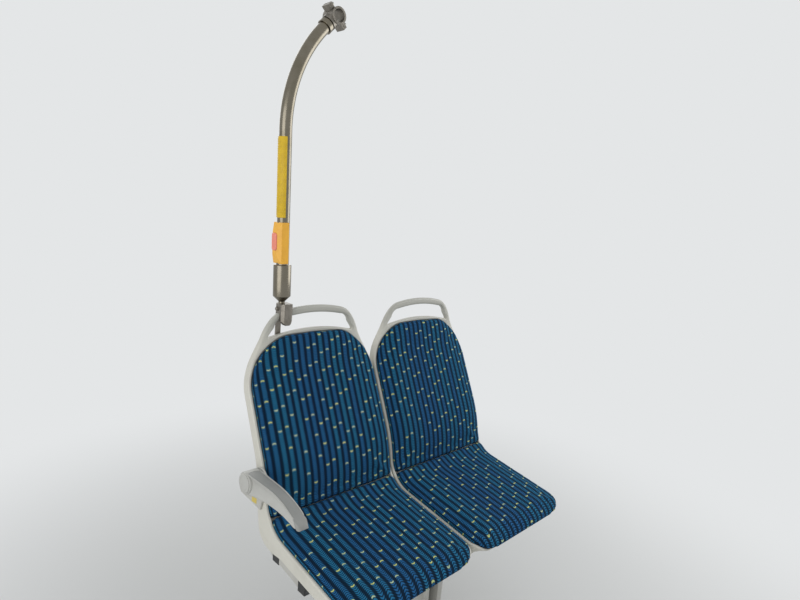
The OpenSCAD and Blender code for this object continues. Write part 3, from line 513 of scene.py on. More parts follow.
def slot_tool():
    """The slot as a solid whose ends flare, so that what it cuts has rounded edges."""
    drop, corner, taper, beyond = 0.020, 0.032, 0.022, 0.03
    low_round, high_round = 0.0045, 0.007
    s_slot, foot = s_top + arch_crown - arch_bar - slot_h, slot_w / 2
    top_x, arch_x = foot - taper - corner, half_at(s_top - handle_corner)

    def roof(x):
        return z_at(s_top - arch_bar) + crowned(arch_crown, x, arch_x)

    def on_corner(angle):
        return (top_x + corner * cos(radians(angle)),
                roof(top_x) - corner + corner * sin(radians(angle)))
    right = [(foot * t, z_at(s_slot - drop * t * t), low_round)
             for t in np.linspace(0, 0.9, 12)]
    wall_foot = np.array([foot, z_at(s_slot - drop)])
    start, end = np.array(right[-1][:2]), wall_foot + 0.3 * (on_corner(10) - wall_foot)
    for t in np.linspace(0, 1, 8)[1:]:
        x, z = (1 - t) ** 2 * start + 2 * t * (1 - t) * wall_foot + t * t * end
        right.append((x, z, low_round + 0.002 * t))
    right += [(*on_corner(angle), high_round) for angle in np.linspace(10, 78, 10)]
    right += [(top_x * t, roof(top_x * t), high_round) for t in np.linspace(0.95, 0, 9)]
    outline = right + [(-x, z, r) for x, z, r in right[-2:0:-1]]
    line = np.array(outline)
    along = np.roll(line[:, :2], -1, axis=0) - np.roll(line[:, :2], 1, axis=0)
    along /= np.linalg.norm(along, axis=1)[:, None]
    outward = np.column_stack([along[:, 1], -along[:, 0]])
    front, arc, loops = bent(0, s_top, 0)[1], (90, 72, 54, 36, 18, 0), []
    for face_y, way, angles in ((front, 1, arc), (front + handle_t, -1, arc[::-1])):
        for a in np.radians(angles):
            flare, y = 1 - cos(a), way * (1 - sin(a))
            loops.append([(x + n[0] * r * flare, face_y + y * r, z + n[1] * r * flare)
                          for (x, z, r), n in zip(outline, outward)])
    first = [(x, front - beyond, z) for x, _, z in loops[0]]
    last = [(x, front + handle_t + beyond, z) for x, _, z in loops[-1]]
    return skin([first] + loops + [last])


def cut(target, tool):
    """The target mesh less the tool mesh, by an exact boolean."""
    body, knife = shown("body", target), shown("knife", tool)
    step = body.modifiers.new("Cut", "BOOLEAN")
    step.operation, step.solver, step.object = "DIFFERENCE", "EXACT", knife
    made = plain(body)
    bpy.data.objects.remove(body)
    bpy.data.objects.remove(knife)
    return made


# Injection-moulded ABS: warm light grey, a fine spark-eroded grain that scatters its gloss,
# a little grime in broad clouds, and a painted shade that darkens it towards the top of the
# handle.
shell_plastic = mottled("injection_moulded_abs", {"Roughness": 0.46}, "#c8c6bc", "#a9a69b",
                        cloud=0.12, share=0.45, grain=0.0011, depth=0.0001, strength=0.8)
tree = shell_plastic.node_tree
colour = tree.nodes["Principled BSDF"].inputs["Base Color"]
height = add(tree, "ShaderNodeSeparateXYZ",
             {0: tree.nodes["Texture Coordinate"].outputs["Object"]})
# Painted shade: from 0.90 m up the shell darkens towards a deeper grey, as the shade on the
# handle plate.
top_shade_from, top_shade_to, top_shade_share = 0.90, 0.99, 0.8
top_shade_mask = add(tree, "ShaderNodeMapRange", {
    "Value": height.outputs["Z"], "From Min": top_shade_from, "From Max": top_shade_to,
    "To Max": top_shade_share}, interpolation_type="SMOOTHSTEP")
top_shaded_colour = add(tree, "ShaderNodeMix", {
    0: top_shade_mask, 6: colour.links[0].from_socket, 7: linear("#a3a39b")}, data_type="RGBA")
tree.links.new(top_shaded_colour.outputs[2], colour)
shell_mesh = cut(as_mesh("shell_skin", *shell_skin()), as_mesh("slot_tool", *slot_tool()))
for side, x in (("aisle", -seat_x), ("window", seat_x)):
    mesh = shell_mesh.copy()
    mesh.name = side + "_seat_shell"
    mesh.transform(Matrix.Translation((x, 0, 0)))
    mesh.shade_smooth()
    mesh.set_sharp_from_angle(angle=radians(40))
    shell = placed(mesh.name, mesh, shell_plastic, "root", "shell_plastic", side + "_shell")
    shell.modifiers.new("Even shading", "WEIGHTED_NORMAL").keep_sharp = True


# Cushions: moulded foam with a stretched moquette cover, glued into each shell's tray.
# Each starts as a slightly thin pad of the tray's outline and is swelled as cloth over
# its foam; both seats use the same two mouldings.
pad_edge, pad_bulge, pad_crown, pad_border = 0.012, 0.005, 0.008, 0.030
pad_clear, pad_thin = 0.0006, 0.003


def pad_skin(front, top, crown, lo, hi):
    """A pad's skin from its tray floor to its face; an end is (s, radius, floor radius,
    share of the border)."""
    side = rim_w + tray_draft + pad_clear
    run = floor_inset + 2 * pad_clear - side

    def ring(e, depth):
        low, high = (0 if e < 0 and end[3] < 1 else e * end[3] for end in (front, top))
        row = (side + e, front[0] + low, top[0] - high,
               max(0.004, front[1] - e), max(0.004, top[1] - e), crown)
        return loop(half_outline(row, lo, hi), depth)
    floor_row = (side + run, front[0] + run * front[3], top[0] - run * top[3], front[2],
                 top[2], crown)
    loops = [loop(half_outline(floor_row, lo, hi), lambda s: mid_depth(s) - pad_clear),
             ring(0.001, lambda s: edge_depth(s) - 3 * pad_clear),
             ring(0, lambda s: -pad_edge / 4)]
    # The side bulges out and closes in over the border to the crowned face.
    bulge = [(-0.6, 0.4), (-0.9, 0.6), (-0.9, 0.8), (-0.5, 1)]
    border = [(0.05, 0.25), (0.17, 0.5), (0.33, 0.7), (0.55, 0.87), (1, 1)]
    rows = [(a * pad_bulge, b * pad_edge) for a, b in bulge]
    rows += [(a * pad_border, pad_edge + b * pad_crown) for a, b in border]
    for e, high in rows:
        depth = -high + pad_thin * high / (pad_edge + pad_crown)
        loops.append(ring(e, lambda s: depth))
    return skin(loops)


line_s = np.arange(0, s_top, 0.0005)
line_points = np.array([on_line(s)[:2] for s in line_s])
line_heads = np.radians([on_line(s)[2] for s in line_s])


def along_line(points, batch=4000):
    """Length along the side line and depth under it, for each point."""
    s, depth = np.empty(len(points)), np.empty(len(points))
    for start in range(0, len(points), batch):
        part = points[start:start + batch, 1:]
        near = ((part[:, None, :] - line_points[None]) ** 2).sum(2).argmin(1)
        s[start:start + batch] = line_s[near]
        off = part - line_points[near]
        head = line_heads[near]
        depth[start:start + batch] = off[:, 0] * np.sin(head) - off[:, 1] * np.cos(head)
    return s, depth


def read(rows, key, count):
    """A mesh's rows of three numbers as an array."""
    flat = np.empty(count * 3)
    rows.foreach_get(key, flat)
    return flat.reshape(-1, 3)


def swelled(mesh, cap):
    """The pad remeshed and swelled as cloth; no point moves further than its cap."""
    piece = shown("swelling", mesh)
    even = piece.modifiers.new("Even mesh", "REMESH")
    even.mode, even.voxel_size = "VOXEL", 0.0055
    piece.data = plain(piece)
    piece.modifiers.remove(even)
    start = read(piece.data.vertices, "co", len(piece.data.vertices))
    s, depth = along_line(start)
    held = piece.vertex_groups.new(name="Glued")
    held.add([int(i) for i in np.nonzero(depth > -pad_edge / 4)[0]], 1.0, "REPLACE")
    cloth = piece.modifiers.new("Cover", "CLOTH")
    for name, value in {
            "quality": 4, "mass": 0.25, "tension_stiffness": 12,
            "compression_stiffness": 12, "use_pressure": True,
            "uniform_pressure_force": 4, "vertex_group_mass": "Glued"}.items():
        setattr(cloth.settings, name, value)
    cloth.settings.effector_weights.gravity = 0
    for number in range(1, 21):
        bpy.context.scene.frame_set(number)
    made = plain(piece)
    piece.modifiers.remove(cloth)
    bpy.context.scene.frame_set(1)
    move = read(made.vertices, "co", len(start)) - start
    length = np.linalg.norm(move, axis=1)
    move *= np.minimum(1, cap(start, s) / np.maximum(length, 1e-9))[:, None]
    piece.data.vertices.foreach_set("co", (start + move).ravel())
    calm = piece.modifiers.new("Calm", "SMOOTH")
    calm.factor, calm.iterations = 0.5, 4
    fine = piece.modifiers.new("Fine", "SUBSURF")
    fine.levels = fine.render_levels = 1
    made = plain(piece)
    bpy.data.objects.remove(piece)
    return made


def laid_cloth(mesh):
    """Stores on each point where the flat cloth lies: across and along, in metres."""
    count = len(mesh.vertices)
    points, normals = read(mesh.vertices, "co", count), read(mesh.vertex_normals, "vector", count)
    s, depth = along_line(points)
    fall = np.clip(depth + pad_edge + pad_crown, 0, 0.03)
    flat = np.column_stack([points[:, 0] + fall * normals[:, 0], s, np.zeros(count)])
    store = mesh.attributes.new("cloth_place", "FLOAT_VECTOR", "POINT")
    store.data.foreach_set("vector", flat.astype(np.float32).ravel())


def reach_cap(front_s, top_s, least=0.0008, most=0.006, ease=0.06):
    """How far a cover point may swell: little at the edges, the most in the middle."""
    def cap(points, s):
        side = np.array([half_at(v) for v in s]) - rim_w - np.abs(points[:, 0])
        edge = np.minimum(side, np.minimum(s - front_s + 0.01, top_s - s + 0.004))
        t = np.clip(edge / ease, 0, 1)
        return least + most * t * t * (3 - 2 * t)
    return cap


# Woven moquette: cut wool pile in navy and teal columns 22.5 mm apart with fine chevrons,
# a dark base weave between the columns that is painted darker still in each groove as its
# shade, and pale lime flecks in pairs. Deep matt colour with a faint sheen from the pile's
# tips. Each row below is one step of the weave: its name, what it does, and what it does it
# to, which is a number, a colour or an earlier step.
seat_cover, tree, shader = finish("woven_moquette", {
    "Roughness": 0.9, "Sheen Weight": 0.08, "Sheen Roughness": 0.5,
    "Sheen Tint": linear("#3f7ba6"), "Specular IOR Level": 0.1})
column_w, row_h, rise = 0.0225, 0.0052, 0.9
laid = add(tree, "ShaderNodeAttribute", attribute_name="cloth_place")
split = add(tree, "ShaderNodeSeparateXYZ", {0: laid.outputs["Vector"]}).outputs
place = add(tree, "ShaderNodeTexCoord").outputs["Object"]
pile = add(tree, "ShaderNodeTexNoise", {"Vector": place, "Scale": 1 / 0.0016, "Detail": 2})
weave = {"X": split["X"], "Y": split["Y"], "pile": pile.outputs["Fac"]}
steps = (
    ("across", "DIVIDE", "X", column_w),
    ("column", "FLOOR", "across"),
    ("odd", "FLOORED_MODULO", "column", 2),
    ("into", "FRACT", "across"),
    ("aside", "SUBTRACT", "into", 0.5),
    ("off", "ABSOLUTE", "aside"),
    ("twice", "MULTIPLY", "odd", 2),
    ("way", "SUBTRACT", "twice", 1),
    ("leaning", "MULTIPLY", "off", "way"),
    ("slant", "MULTIPLY", "leaning", 2 * rise),
    ("rows", "DIVIDE", "Y", row_h),
    ("along", "ADD", "rows", "slant"),
    ("row", "FLOOR", "along"),
    ("ridge", "PINGPONG", "along", 0.5),
    ("thread", "SMOOTHSTEP", "ridge", 0.12, 0.36),
    ("gap", "SMOOTHSTEP", "off", 0.16, 0.38),
    ("tone", "1D", "column"),
    ("teal", "SMOOTHSTEP", "tone", 0.35, 0.65),
    ("yarn", "RGBA", "teal", "#255f91", "#256e94"),
    # Painted shade: the dark base weave turns darker still towards the middle of each groove.
    ("ground_and_groove_shade", "RGBA", "gap", "#0b2a42", "#061a2b"),
    ("hidden", "MULTIPLY", "gap", 0.95),
    ("raised", "SUBTRACT", 1, "hidden"),
    ("share", "MULTIPLY", "thread", "raised"),
    ("woven", "RGBA", "share", "ground_and_groove_shade", "yarn"),
    ("half", "DIVIDE", "column", 2),
    ("pair", "FLOOR", "half"),
    ("shift", "MULTIPLY", "pair", 4),
    ("stagger", "SUBTRACT", "shift", "twice"),
    ("count", "ADD", "row", "stagger"),
    ("beat", "FLOORED_MODULO", "count", 11),
    ("chance", "2D", "column", "row"),
    ("end", "SMOOTHSTEP", "off", 0.20, 0.27),
    ("inside", "SUBTRACT", 1, "end"),
    ("body", "SMOOTHSTEP", "ridge", 0.04, 0.2),
    ("stroke", "MULTIPLY", "inside", "body"),
    ("due", "COMPARE", "beat", 0, 0.4),
    ("marked", "MULTIPLY", "due", "stroke"),
    ("kept", "GREATER_THAN", "chance", 0.2),
    ("fleck", "MULTIPLY", "marked", "kept"),
    ("paler", "SMOOTHSTEP", "chance", 0.5, 0.7),
    ("lime", "RGBA", "paler", "#b6c07c", "#a2b79a"),
    ("cloth", "RGBA", "fleck", "woven", "lime"),
    ("swell", "MULTIPLY", "thread", 0.3),
    ("sunk", "SUBTRACT", "swell", "gap"),
    ("tufts", "MULTIPLY", "pile", 0.5),
    ("relief", "ADD", "sunk", "tufts"))
for name, what, *given in steps:
    given = [linear(g) if str(g).startswith("#") else weave.get(g, g) for g in given]
    if what == "SMOOTHSTEP":
        node = add(tree, "ShaderNodeMapRange", dict(zip(
            ("Value", "From Min", "From Max"), given)), interpolation_type=what)
    elif what == "RGBA":
        node = add(tree, "ShaderNodeMix", dict(zip((0, 6, 7), given)), data_type=what)
    elif what == "1D":
        node = add(tree, "ShaderNodeTexWhiteNoise", {"W": given[0]}, noise_dimensions=what)
    elif what == "2D":
        pick = add(tree, "ShaderNodeCombineXYZ", dict(enumerate(given)))
        node = add(tree, "ShaderNodeTexWhiteNoise", {"Vector": pick}, noise_dimensions=what)
    else:
        node = add(tree, "ShaderNodeMath", dict(enumerate(given)), operation=what)
    weave[name] = node.outputs[2 if what == "RGBA" else 0]
shade = add(tree, "ShaderNodeMapRange", {"Value": weave["pile"], "To Min": 0.7, "To Max": 1.3})
depth = add(tree, "ShaderNodeHueSaturation", {"Color": weave["cloth"], "Value": shade})
tree.links.new(depth.outputs[0], shader.inputs["Base Color"])
bump = add(tree, "ShaderNodeBump", {
    "Height": weave["relief"], "Strength": 0.7, "Distance": 0.0007})
tree.links.new(bump.outputs["Normal"], shader.inputs["Normal"])

# The seat and back pads meet in a crease a little in front of the back.
s_crease, crease_gap, crease_crown, crease_zone = s_hip + 0.075, 0.002, 0.001, 0.060
crease_round = (0.012, 0.012, 0.35)
front_end = (tray_front + tray_draft + pad_clear, front_corner - 0.006, front_corner - 0.004, 1)
back_end = (s_tray_top - tray_draft - pad_clear, tray_corner, tray_corner, 1)
seat_crease = (s_crease - crease_gap / 2 - crease_crown, *crease_round)
back_crease = (s_crease + crease_gap / 2, *crease_round)
for kind, front, top, crown, lo, hi in (
        ("seat", front_end, seat_crease, crease_crown, floor_lo, s_crease - crease_zone),
        ("back", back_crease, back_end, tray_crown, s_crease + crease_zone, floor_hi)):
    raw = as_mesh(kind + "_pad", *pad_skin(front, top, crown, lo, hi))
    moulded = swelled(raw, reach_cap(front[0], top[0]))
    laid_cloth(moulded)
    for side, x in (("aisle", -seat_x), ("window", seat_x)):
        mesh = moulded.copy()
        mesh.transform(Matrix.Translation((x, 0, 0)))
        mesh.shade_smooth()
        pad = f"{side}_{kind}_pad"
        cushion = placed(f"{side}_{kind}_cushion", mesh, seat_cover, "root", "seat_cloth", pad)


# Armrest: a soft-touch moulding over a steel core, folding up round a pin in a bracket
# on the aisle shell's side. The bracket is light grey coated sheet.
from_cad("armrest_bracket", grey_coat, "rail_paint", sheet_edge)
from_cad("armrest_pin", zinc_plate, "pin_steel", sheet_edge / 2)
# A blank vinyl sticker on the bracket, faded yellow, under a thin gloss.
label_vinyl = mottled("label_vinyl_yellow", {"Roughness": 0.35}, "#cdb54a", "#b3a56a",
                      cloud=0.008, share=0.5)
label_y, label_z, label_w, label_h, label_t = 0.146, 0.521, 0.012, 0.008, 0.0003
bracket_x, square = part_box("armrest_bracket")[0].x, ((-1, -1), (1, -1), (1, 1), (-1, 1))
corners = [(bracket_x - d, label_y + y * label_w, label_z + z * label_h - y * 0.001)
           for d in (0, label_t) for y, z in square]
label = as_mesh("bracket_label", corners, ring_faces(2, 4) + [[3, 2, 1, 0], [4, 5, 6, 7]])
placed("bracket_label", label, label_vinyl, "root", "rail_paint")

# Soft-touch mouldings: grey and nearly matt, with a fine leathery grain and a few handled
# places of another tone. The top is the body's plastic in a darker grey: painted shade on its
# upper face.
arm_plastic, shaded_top_plastic = [
    mottled(name, {"Roughness": 0.48}, clean, handled, cloud=0.05, share=0.5,
            grain=0.0014, depth=0.00014, strength=0.9)
    for name, clean, handled in (("moulded_polyamide_grey", "#b0b0ab", "#a09f9a"),
                                 ("armrest_top_painted_shade", "#8b8c89", "#7b7c79"))]
hub_y, hub_z, hub_r = 0.122, 0.593, 0.029
arm_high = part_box("armrest_arm")[1]
cap_low, cap_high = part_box("armrest_cap")
arm_w = arm_high.x - cap_high.x
arm_mid = (arm_high.x + cap_high.x) / 2
arm_bend, arm_straight, arm_curve = 31, 0.104, 0.140
arm_reach, arm_tip = arm_straight + arm_curve, 0.020
nose, nose_back = (0.88, 0.93), 0.012


def arm_point(s, depth):
    """The point (y, z) at length s along the armrest's top and a depth under it."""
    if s <= arm_straight:
        y, z, heading = s, 0, 0
    else:
        past = s - arm_straight
        y, z, heading = moved((arm_straight, 0, 0), past, arm_bend * past / arm_curve)
    return (hub_y - y - depth * sin(radians(heading)),
            hub_z + hub_r - z - depth * cos(radians(heading)))


def arm_skin(name, section_at, reach):
    """A skin through the sections that section_at gives along the armrest, as (x, depth)
    points; it closes round at the tip and is cut round the hub."""
    points = []
    stations = list(np.linspace(0, reach - arm_tip, 44)) + [
        reach - arm_tip * (1 - sin(radians(a))) for a in (15, 30, 45, 60, 75, 90)]
    for s in stations:
        share = sqrt(max(0, 1 - max(0, 1 - (reach - s) / arm_tip) ** 2))
        wide, deep = 0.25 + 0.75 * share, 0.3 + 0.7 * share
        section = section_at(s / arm_reach)
        points += [(arm_mid + x * wide, *arm_point(s, d * deep)) for x, d in section]
    m = len(section)
    ends = [list(range(m)), list(range(len(points) - m, len(points)))]
    faces = ring_faces(len(stations), m) + ends
    return cut(as_mesh(name, points, faces, 50), hub_tool)


def at_share(share, shares, values):
    """A size of the arm at a share of its length."""
    return float(np.interp(share, shares, values))


def arm_half(share):
    """Half the arm's width: waisted in front of the middle."""
    return at_share(share, (0, 0.15, 0.4, 0.7, 1), (0.0196, 0.0190, 0.0172, 0.0160, 0.0168))


def top_section(share):
    """The soft top: crowned, with round edges that drop into the body's groove; at the nose
    it widens and turns down over the body."""
    half = arm_half(share) - at_share(share, nose, (0.0026, 0))
    edge, under = 0.0012, at_share(share, nose, (0.0050, 0.0190))
    right = [(half * t, 0.0010 * t * t) for t in np.linspace(0, 0.9, 7)]
    x0, d0 = right[-1]
    right += [(x0 + (half - x0) * sin(radians(a)), d0 + edge * (1 - cos(radians(a))))
              for a in (30, 60, 90)]
    right += [(half, under), (0, under)]
    return right + [(-x, d) for x, d in right[-2:0:-1]]


def body_section(share):
    """The moulded body: a bead beside the top, a shallow hollow down the side and a round
    flange below; at the nose it sinks under the top."""
    half = arm_half(share) - at_share(share, nose, (0, 0.0012))
    sink = at_share(share, nose, (-0.0004, 0.0040))
    deep = at_share(share, (0, 0.35, 0.75, 0.94, 1), (2 * hub_r, 0.044, 0.033, 0.024, 0.021))
    bead = [(0.0024, 0.0040), (0.0022, 0.0004), (0.0014, -0.0004), (0.0005, -0.0003),
            (0, 0.0008), (0.0004, 0.0026), (0.0030, 0.0052)]
    side = [(0.0052, 0.32), (0.0052, 0.52), (0.0026, 0.74), (0.0004, 0.85), (0, 0.90),
            (0.0016, 0.97), (0.0045, 1)]
    right = [(half - x, max(d, sink)) for x, d in bead + [(x, t * deep) for x, t in side]]
    return right + [(-x, d) for x, d in right[::-1]]


def turned(name, profile, centre, axis="X", sides=64, sharp=38):
    """A turned mesh from a closed profile of (radius, height) points round an axis."""
    points = []
    for k in range(sides):
        a = 2 * pi * k / sides
        for r, h in profile:
            spot = {"X": (h, r * cos(a), r * sin(a)), "Z": (r * cos(a), r * sin(a), h)}[axis]
            points.append([c + p for c, p in zip(centre, spot)])
    return as_mesh(name, points, ring_faces(sides, len(profile), True), sharp, 1e-6)


hub_mid, hub_clear, knife_half = (arm_mid, hub_y, hub_z), 0.0004, 0.04
knife_r = hub_r + hub_clear
hub_tool = turned("hub_tool", [(0, -knife_half), (knife_r, -knife_half),
                               (knife_r, knife_half), (0, knife_half)], hub_mid)
# The top's darker grey is painted shade: the top is the same plastic as the body.
placed("armrest_top", arm_skin("armrest_top", top_section, arm_reach), shaded_top_plastic,
       "armrest", "arm_plastic", "armrest_pad")
bore, hub_side = 0.00805, arm_w / 2
hub_end = [(bore, hub_side), (hub_r - 0.003, hub_side), (hub_r - 0.0009, hub_side - 0.0009),
           (hub_r, hub_side - 0.003)]
hub_profile = [(r, -h) for r, h in hub_end] + hub_end[::-1]
placed("armrest_hub", turned("armrest_hub", hub_profile, hub_mid), arm_plastic, "armrest",
       "arm_plastic", "armrest_arm")
placed("armrest_web", arm_skin("armrest_web", body_section, arm_reach - nose_back),
       arm_plastic, "armrest", "arm_plastic")
cap_r, cap_t = hub_r - 0.004, cap_high.x - cap_low.x
cap_profile = [(0, cap_t), (cap_r, cap_t), (cap_r, 0.0012), (cap_r - 0.0004, 0.0004),
               (cap_r - 0.0012, 0), (cap_r - 0.006, 0), (cap_r - 0.0066, 0.0006), (0, 0.0009)]
placed("armrest_disc", turned("armrest_disc", cap_profile, (cap_low.x, hub_y, hub_z)),
       arm_plastic, "armrest", "arm_plastic", "armrest_cap")


# Handle clamp: a die-cast aluminium block and its rear jaw grip the handle's bar, drawn
# together by one cap screw. The pole's sleeve stands on its neck. Shot-blasted casting is
# a warm grey metal whose pitted skin blurs what it reflects, rubbed brighter in patches.
cast_metal = mottled("die_cast_aluminium", {"Metallic": 1.0, "Roughness": 0.4}, "#87827a",
                     "#69655d", cloud=0.02, share=0.8, grain=0.0016, depth=0.0002)
block_round, jaw_round = 0.0035, 0.0015
from_cad("handle_clamp", cast_metal, "clamp_casting", block_round)
from_cad("clamp_jaw", cast_metal, "clamp_casting", jaw_round)
clamp_low, clamp_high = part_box("handle_clamp")
screw_back, screw_down = 0.028, 0.016
set_screws("clamp_screw", [(clamp_low.x, clamp_low.y + screw_back, clamp_high.z - screw_down)],
           (0, -pi / 2, 0), head=0.0052, height=0.0032, washer=0.0068, sides=24,
           metal=cast_metal, slot="clamp_casting")


# Grab pole: a 35 mm stainless tube, straight from the sleeve and bent over to the ceiling
# rail, swept as one smooth tube along its centre line; its sleeve is turned. Ground
# stainless is a bright grey, with hairlines round the tube that spread its highlights.
steel_gloss = 0.24
steel = mottled("brushed_stainless_steel", {"Metallic": 1.0, "Roughness": steel_gloss},
                "#7d776b", "#67614f", cloud=0.05, share=0.6, grain=0.02, depth=0.00006,
                strength=0.5, stretch=(1, 1, 40))
tree = steel.node_tree
spread = add(tree, "ShaderNodeMapRange", {
    "Value": tree.nodes["Bump"].inputs["Height"].links[0].from_socket,
    "To Min": steel_gloss - 0.06, "To Max": steel_gloss + 0.08})
tree.links.new(spread.outputs["Result"], tree.nodes["Principled BSDF"].inputs["Roughness"])
pole_x, pole_y, pole_lean, pole_r, fit = -0.341, 0.256839, 2, 0.0175, 0.0002
clamp_top = clamp_high.z
foot = Vector((pole_x, pole_y, clamp_top))
lean = (Matrix.Translation(foot) @ Matrix.Rotation(radians(-pole_lean), 4, "Y")
        @ Matrix.Translation(-foot))
neck_r, neck_h, cone_h, sleeve_r, sleeve_h = 0.009, 0.006, 0.014, 0.025, 0.110
cone_top = neck_h + cone_h
sleeve_profile = [
    (0, 0), (neck_r, 0), (neck_r, neck_h - 0.001), (neck_r + 0.0008, neck_h),
    (sleeve_r - 0.0015, cone_top - 0.0008), (sleeve_r - 0.0003, cone_top + 0.0006),
    (sleeve_r, cone_top + 0.002), (sleeve_r, sleeve_h - 0.002),
    (sleeve_r - 0.0006, sleeve_h - 0.0006), (sleeve_r - 0.002, sleeve_h),
    (pole_r + fit, sleeve_h), (pole_r + fit, cone_top + 0.004), (0, cone_top + 0.004)]
sleeve = turned("pole_sleeve_turned", sleeve_profile, foot, "Z", 96, 24)
sleeve.transform(lean)
placed("pole_sleeve_turned", sleeve, steel, "root", "pole_steel", "pole_sleeve")

bend_r, bend_turn, end_l, bare_l, tube_wall, tube_sides = 0.412, 43, 0.024, 0.018, 0.002, 64
box_gap, box_h, insert_gap, insert_h = 0.004, 0.114, 0.013, 0.216
insert_low = clamp_top + sleeve_h + box_gap + box_h + insert_gap
insert_high = insert_low + insert_h
bend_z = insert_high + bare_l
line = [(pole_x, z, 0) for z in np.linspace(clamp_top + cone_top + 0.004, bend_z, 24)]
line += [(pole_x + bend_r * (1 - cos(a)), bend_z + bend_r * sin(a), a)
         for a in np.radians(np.linspace(0, bend_turn, 34)[1:])]
x, z, a = line[-1]
line.append((x + end_l * sin(a), z + end_l * cos(a), a))
points = []
for radius, path in ((pole_r, line), (pole_r - tube_wall, line[::-1])):
    for x, z, turn in path:
        for k in range(tube_sides):
            a = 2 * pi * k / tube_sides
            points.append((x + radius * cos(a) * cos(turn), pole_y + radius * sin(a),
                           z - radius * cos(a) * sin(turn)))
tube = as_mesh("grab_pole", points, ring_faces(2 * len(line), tube_sides, True), 40)
tube.transform(lean)
placed("grab_pole", tube, steel, "root", "pole_steel", "pole_tube")


# Grip insert: a yellow vinyl half sleeve on the pole's front and aisle side, moulded with
# small diamond studs that a hand won't slip on. The studs are laid in rows by a node tree.
# Soft vinyl in signal yellow: satin, thumbed darker in the low places.
grip_yellow = mottled("grip_vinyl_yellow", {"Roughness": 0.5}, "#d8b41c", "#b3901e",
                      cloud=0.018, share=0.5, grain=0.0009, depth=0.0001)
insert_r, insert_half, insert_edge = pole_r + fit + 0.0019, 74, 0.0008
profile = [(insert_low, insert_r - insert_edge), (insert_low + insert_edge, insert_r),
           (insert_high - insert_edge, insert_r), (insert_high, insert_r - insert_edge)]
profile += [(z, pole_r + fit) for z, _ in profile[::-1]]
angles = np.radians(np.linspace(180 - insert_half, 180 + insert_half, 49))
points = [(pole_x + r * cos(a), pole_y + r * sin(a), z) for a in angles for z, r in profile]
faces = ring_faces(len(angles), len(profile))
for base in (0, len(points) - len(profile)):
    faces += [[base + i, base + i + 1, base + 6 - i, base + 7 - i] for i in range(3)]
grip = as_mesh("grip_sleeve", points, faces, 60)
grip.transform(lean)
placed("grip_sleeve", grip, grip_yellow, "root", "grip_yellow", "grip_insert")

stud_tree, given = tree_on_points("Grip studs", {
    "Stud radius": "Float", "Stud height": "Float"})
drawn = add(stud_tree, "ShaderNodeMath", {0: given["Stud radius"], 1: 0.35},
            operation="MULTIPLY")
stud = add(stud_tree, "GeometryNodeMeshCone", {
    "Vertices": 4, "Radius Bottom": given["Stud radius"], "Radius Top": drawn,
    "Depth": given["Stud height"]})
angle = add(stud_tree, "GeometryNodeInputNamedAttribute", {"Name": "around"},
            data_type="FLOAT")
turn = add(stud_tree, "ShaderNodeCombineXYZ", {"Y": pi / 2, "Z": angle})
set_on_points(stud_tree, given, stud, turn)
pitch_z, pitch_a, stud_edge = 0.0062, radians(15), 0.004
spots, around = [], []
for i in range(int((insert_high - insert_low - 2 * stud_edge) / pitch_z) + 1):
    for j in range(11):
        a = radians(180 - insert_half + 5) + pitch_a * (j + (i % 2) / 2)
        if a < radians(180 + insert_half - 4):
            spots.append((pole_x + insert_r * cos(a), pole_y + insert_r * sin(a),
                          insert_low + stud_edge + pitch_z * i))
            around.append(a)
dots = bare("stud_spots", spots)
dots.attributes.new("around", "FLOAT", "POINT").data.foreach_set("value", around)
studs = grown("grip_studs", dots, stud_tree, {
    "Stud radius": 0.0028, "Stud height": 0.0006, "Finish": grip_yellow}, "grip_yellow")
studs.data.transform(lean)


# Stop button: an amber ABS box clipped round the pole, with a red push button set in its
# aisle face. Both are satin mouldings without any mark: even colour, a little handled at
# their edges.
box_edge = 0.002
for node, name, roughness, clean, handled, slot in (
        ("stop_box", "moulded_abs_amber", 0.34, "#efb236", "#d89826", "box_amber"),
        ("stop_button", "moulded_abs_red", 0.3, "#f08d76", "#cf6d5c", "button_red")):
    abs_plastic = mottled(name, {"Roughness": roughness}, clean, handled, cloud=0.03,
                          share=0.5, grain=0.003, depth=0.00006)
    from_cad(node, abs_plastic, slot, box_edge)


# Top clamp: a die-cast T piece whose cap closes round the ceiling rail with four screws;
# a steel collar covers the joint with the pole.
collar_edge = 0.0008
from_cad("pole_collar", steel, "pole_steel", collar_edge)
for node in ("rail_clamp", "rail_clamp_cap"):
    from_cad(node, cast_metal, "clamp_casting", sheet_edge)
turn = radians(bend_turn)
tip = (pole_x + bend_r * (1 - cos(turn)), pole_y, bend_z + bend_r * sin(turn))
end = lean @ Matrix.Translation(tip) @ Matrix.Rotation(turn, 4, "Y")
rail_off, lug_top, lug_x, lug_y = 0.0305, 0.007, 0.031, 0.0095
lugs = [end @ Vector((x * lug_x, y * lug_y, end_l + rail_off + lug_top))
        for x in (-1, 1) for y in (-1, 1)]
set_screws("rail_clamp_screws", lugs, (0, radians(bend_turn - pole_lean), 0), head=0.0042,
           height=0.004, washer=0.0052, sides=20)


# Studio: a pale floor that fades into a plain pale backdrop, soft lamps at a plain level,
# and the camera where the photograph was taken.
pale_grey = "#e4e6e7"


def looked_at(tree):
    """1 for a ray from the camera, straight or off metal or through glass."""
    ray = add(tree, "ShaderNodeLightPath").outputs
    seen = ray["Is Camera Ray"]
    for kind in ("Is Glossy Ray", "Is Transmission Ray"):
        seen = add(tree, "ShaderNodeMath", {0: seen, 1: ray[kind]}, operation="MAXIMUM")
    return seen


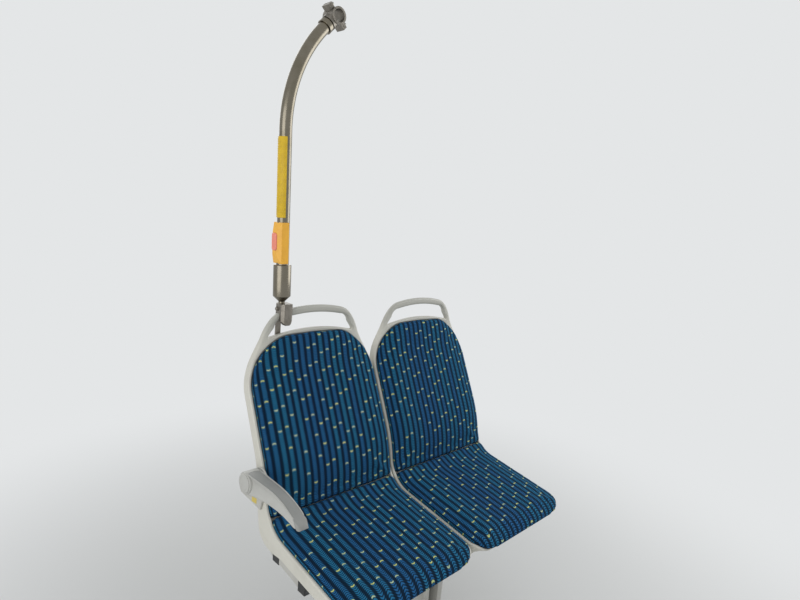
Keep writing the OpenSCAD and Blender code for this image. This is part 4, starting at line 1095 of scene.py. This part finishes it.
# Matt painted floor in pale grey, which takes the seat's shadow and fades for the camera
# into the backdrop's own colour between these distances.
fade_from, fade_to, floor_half = 0.7, 2.2, 30.0
floor_paint, tree, shader = finish("floor_paint", {
    "Base Color": linear("#c4c5c4"), "Roughness": 0.9, "Specular IOR Level": 0.1})
place = add(tree, "ShaderNodeTexCoord").outputs["Object"]
away = add(tree, "ShaderNodeVectorMath", {0: place}, operation="LENGTH")
far = add(tree, "ShaderNodeMapRange", {
    "Value": away.outputs["Value"], "From Min": fade_from, "From Max": fade_to},
    interpolation_type="SMOOTHSTEP")
share = add(tree, "ShaderNodeMath", {0: far, 1: looked_at(tree)}, operation="MULTIPLY")
glow = add(tree, "ShaderNodeEmission", {"Color": linear(pale_grey), "Strength": 1.0})
mixed = add(tree, "ShaderNodeMixShader", {0: share, 1: shader, 2: glow})
tree.links.new(mixed.outputs[0], tree.nodes["Material Output"].inputs["Surface"])
floor_mesh = bare("studio_floor", [(x * floor_half, y * floor_half, 0) for x, y in square],
                  [[0, 1, 2, 3]])
floor_mesh.materials.append(floor_paint)
shown("studio_floor", floor_mesh)

world = bpy.data.worlds.new("studio")
bpy.context.scene.world = world
world.use_nodes = True
sky = world.node_tree
sky.nodes.clear()
fill = add(sky, "ShaderNodeBackground", {"Color": linear("#eef0f2"), "Strength": 0.75})
backdrop = add(sky, "ShaderNodeBackground", {"Color": linear(pale_grey), "Strength": 1.0})
both = add(sky, "ShaderNodeMixShader", {0: looked_at(sky), 1: fill, 2: backdrop})
add(sky, "ShaderNodeOutputWorld", {0: both})

# Soft square lamps, each with its place, its target, and its power in watts.
lamp_size = 2.2
for name, spot, target, power in (
        ("window_light", (2.6, -0.8, 1.8), (0, 0, 0.8), 42),
        ("aisle_light", (-2.7, -0.6, 1.25), (-0.1, 0, 0.8), 30),
        ("rear_light", (0.4, 2.6, 2.3), (0, 0, 0.9), 20)):
    light = bpy.data.lights.new(name, "AREA")
    light.size, light.energy = lamp_size, power
    holder = shown(name, light)
    holder.location = spot
    holder.rotation_euler = (Vector(target) - Vector(spot)).to_track_quat("-Z", "Y").to_euler()

focal_px, photo_w, eye = 549.15, 800, (-1.19571, -1.06604, 1.31660)
azimuth, dip, roll = radians(-45.16), radians(8.99), radians(5.09)
lens = bpy.data.cameras.new("photograph")
lens.sensor_width = 36
lens.lens = focal_px * lens.sensor_width / photo_w
lens.clip_start = 0.05
camera = shown("photograph", lens)
camera.matrix_world = (
    Matrix.Translation(eye) @ Matrix.Rotation(azimuth, 4, "Z")
    @ Matrix.Rotation(pi / 2 - dip, 4, "X") @ Matrix.Rotation(roll, 4, "Z"))
bpy.context.scene.camera = camera
bpy.context.scene.view_settings.view_transform = "Standard"
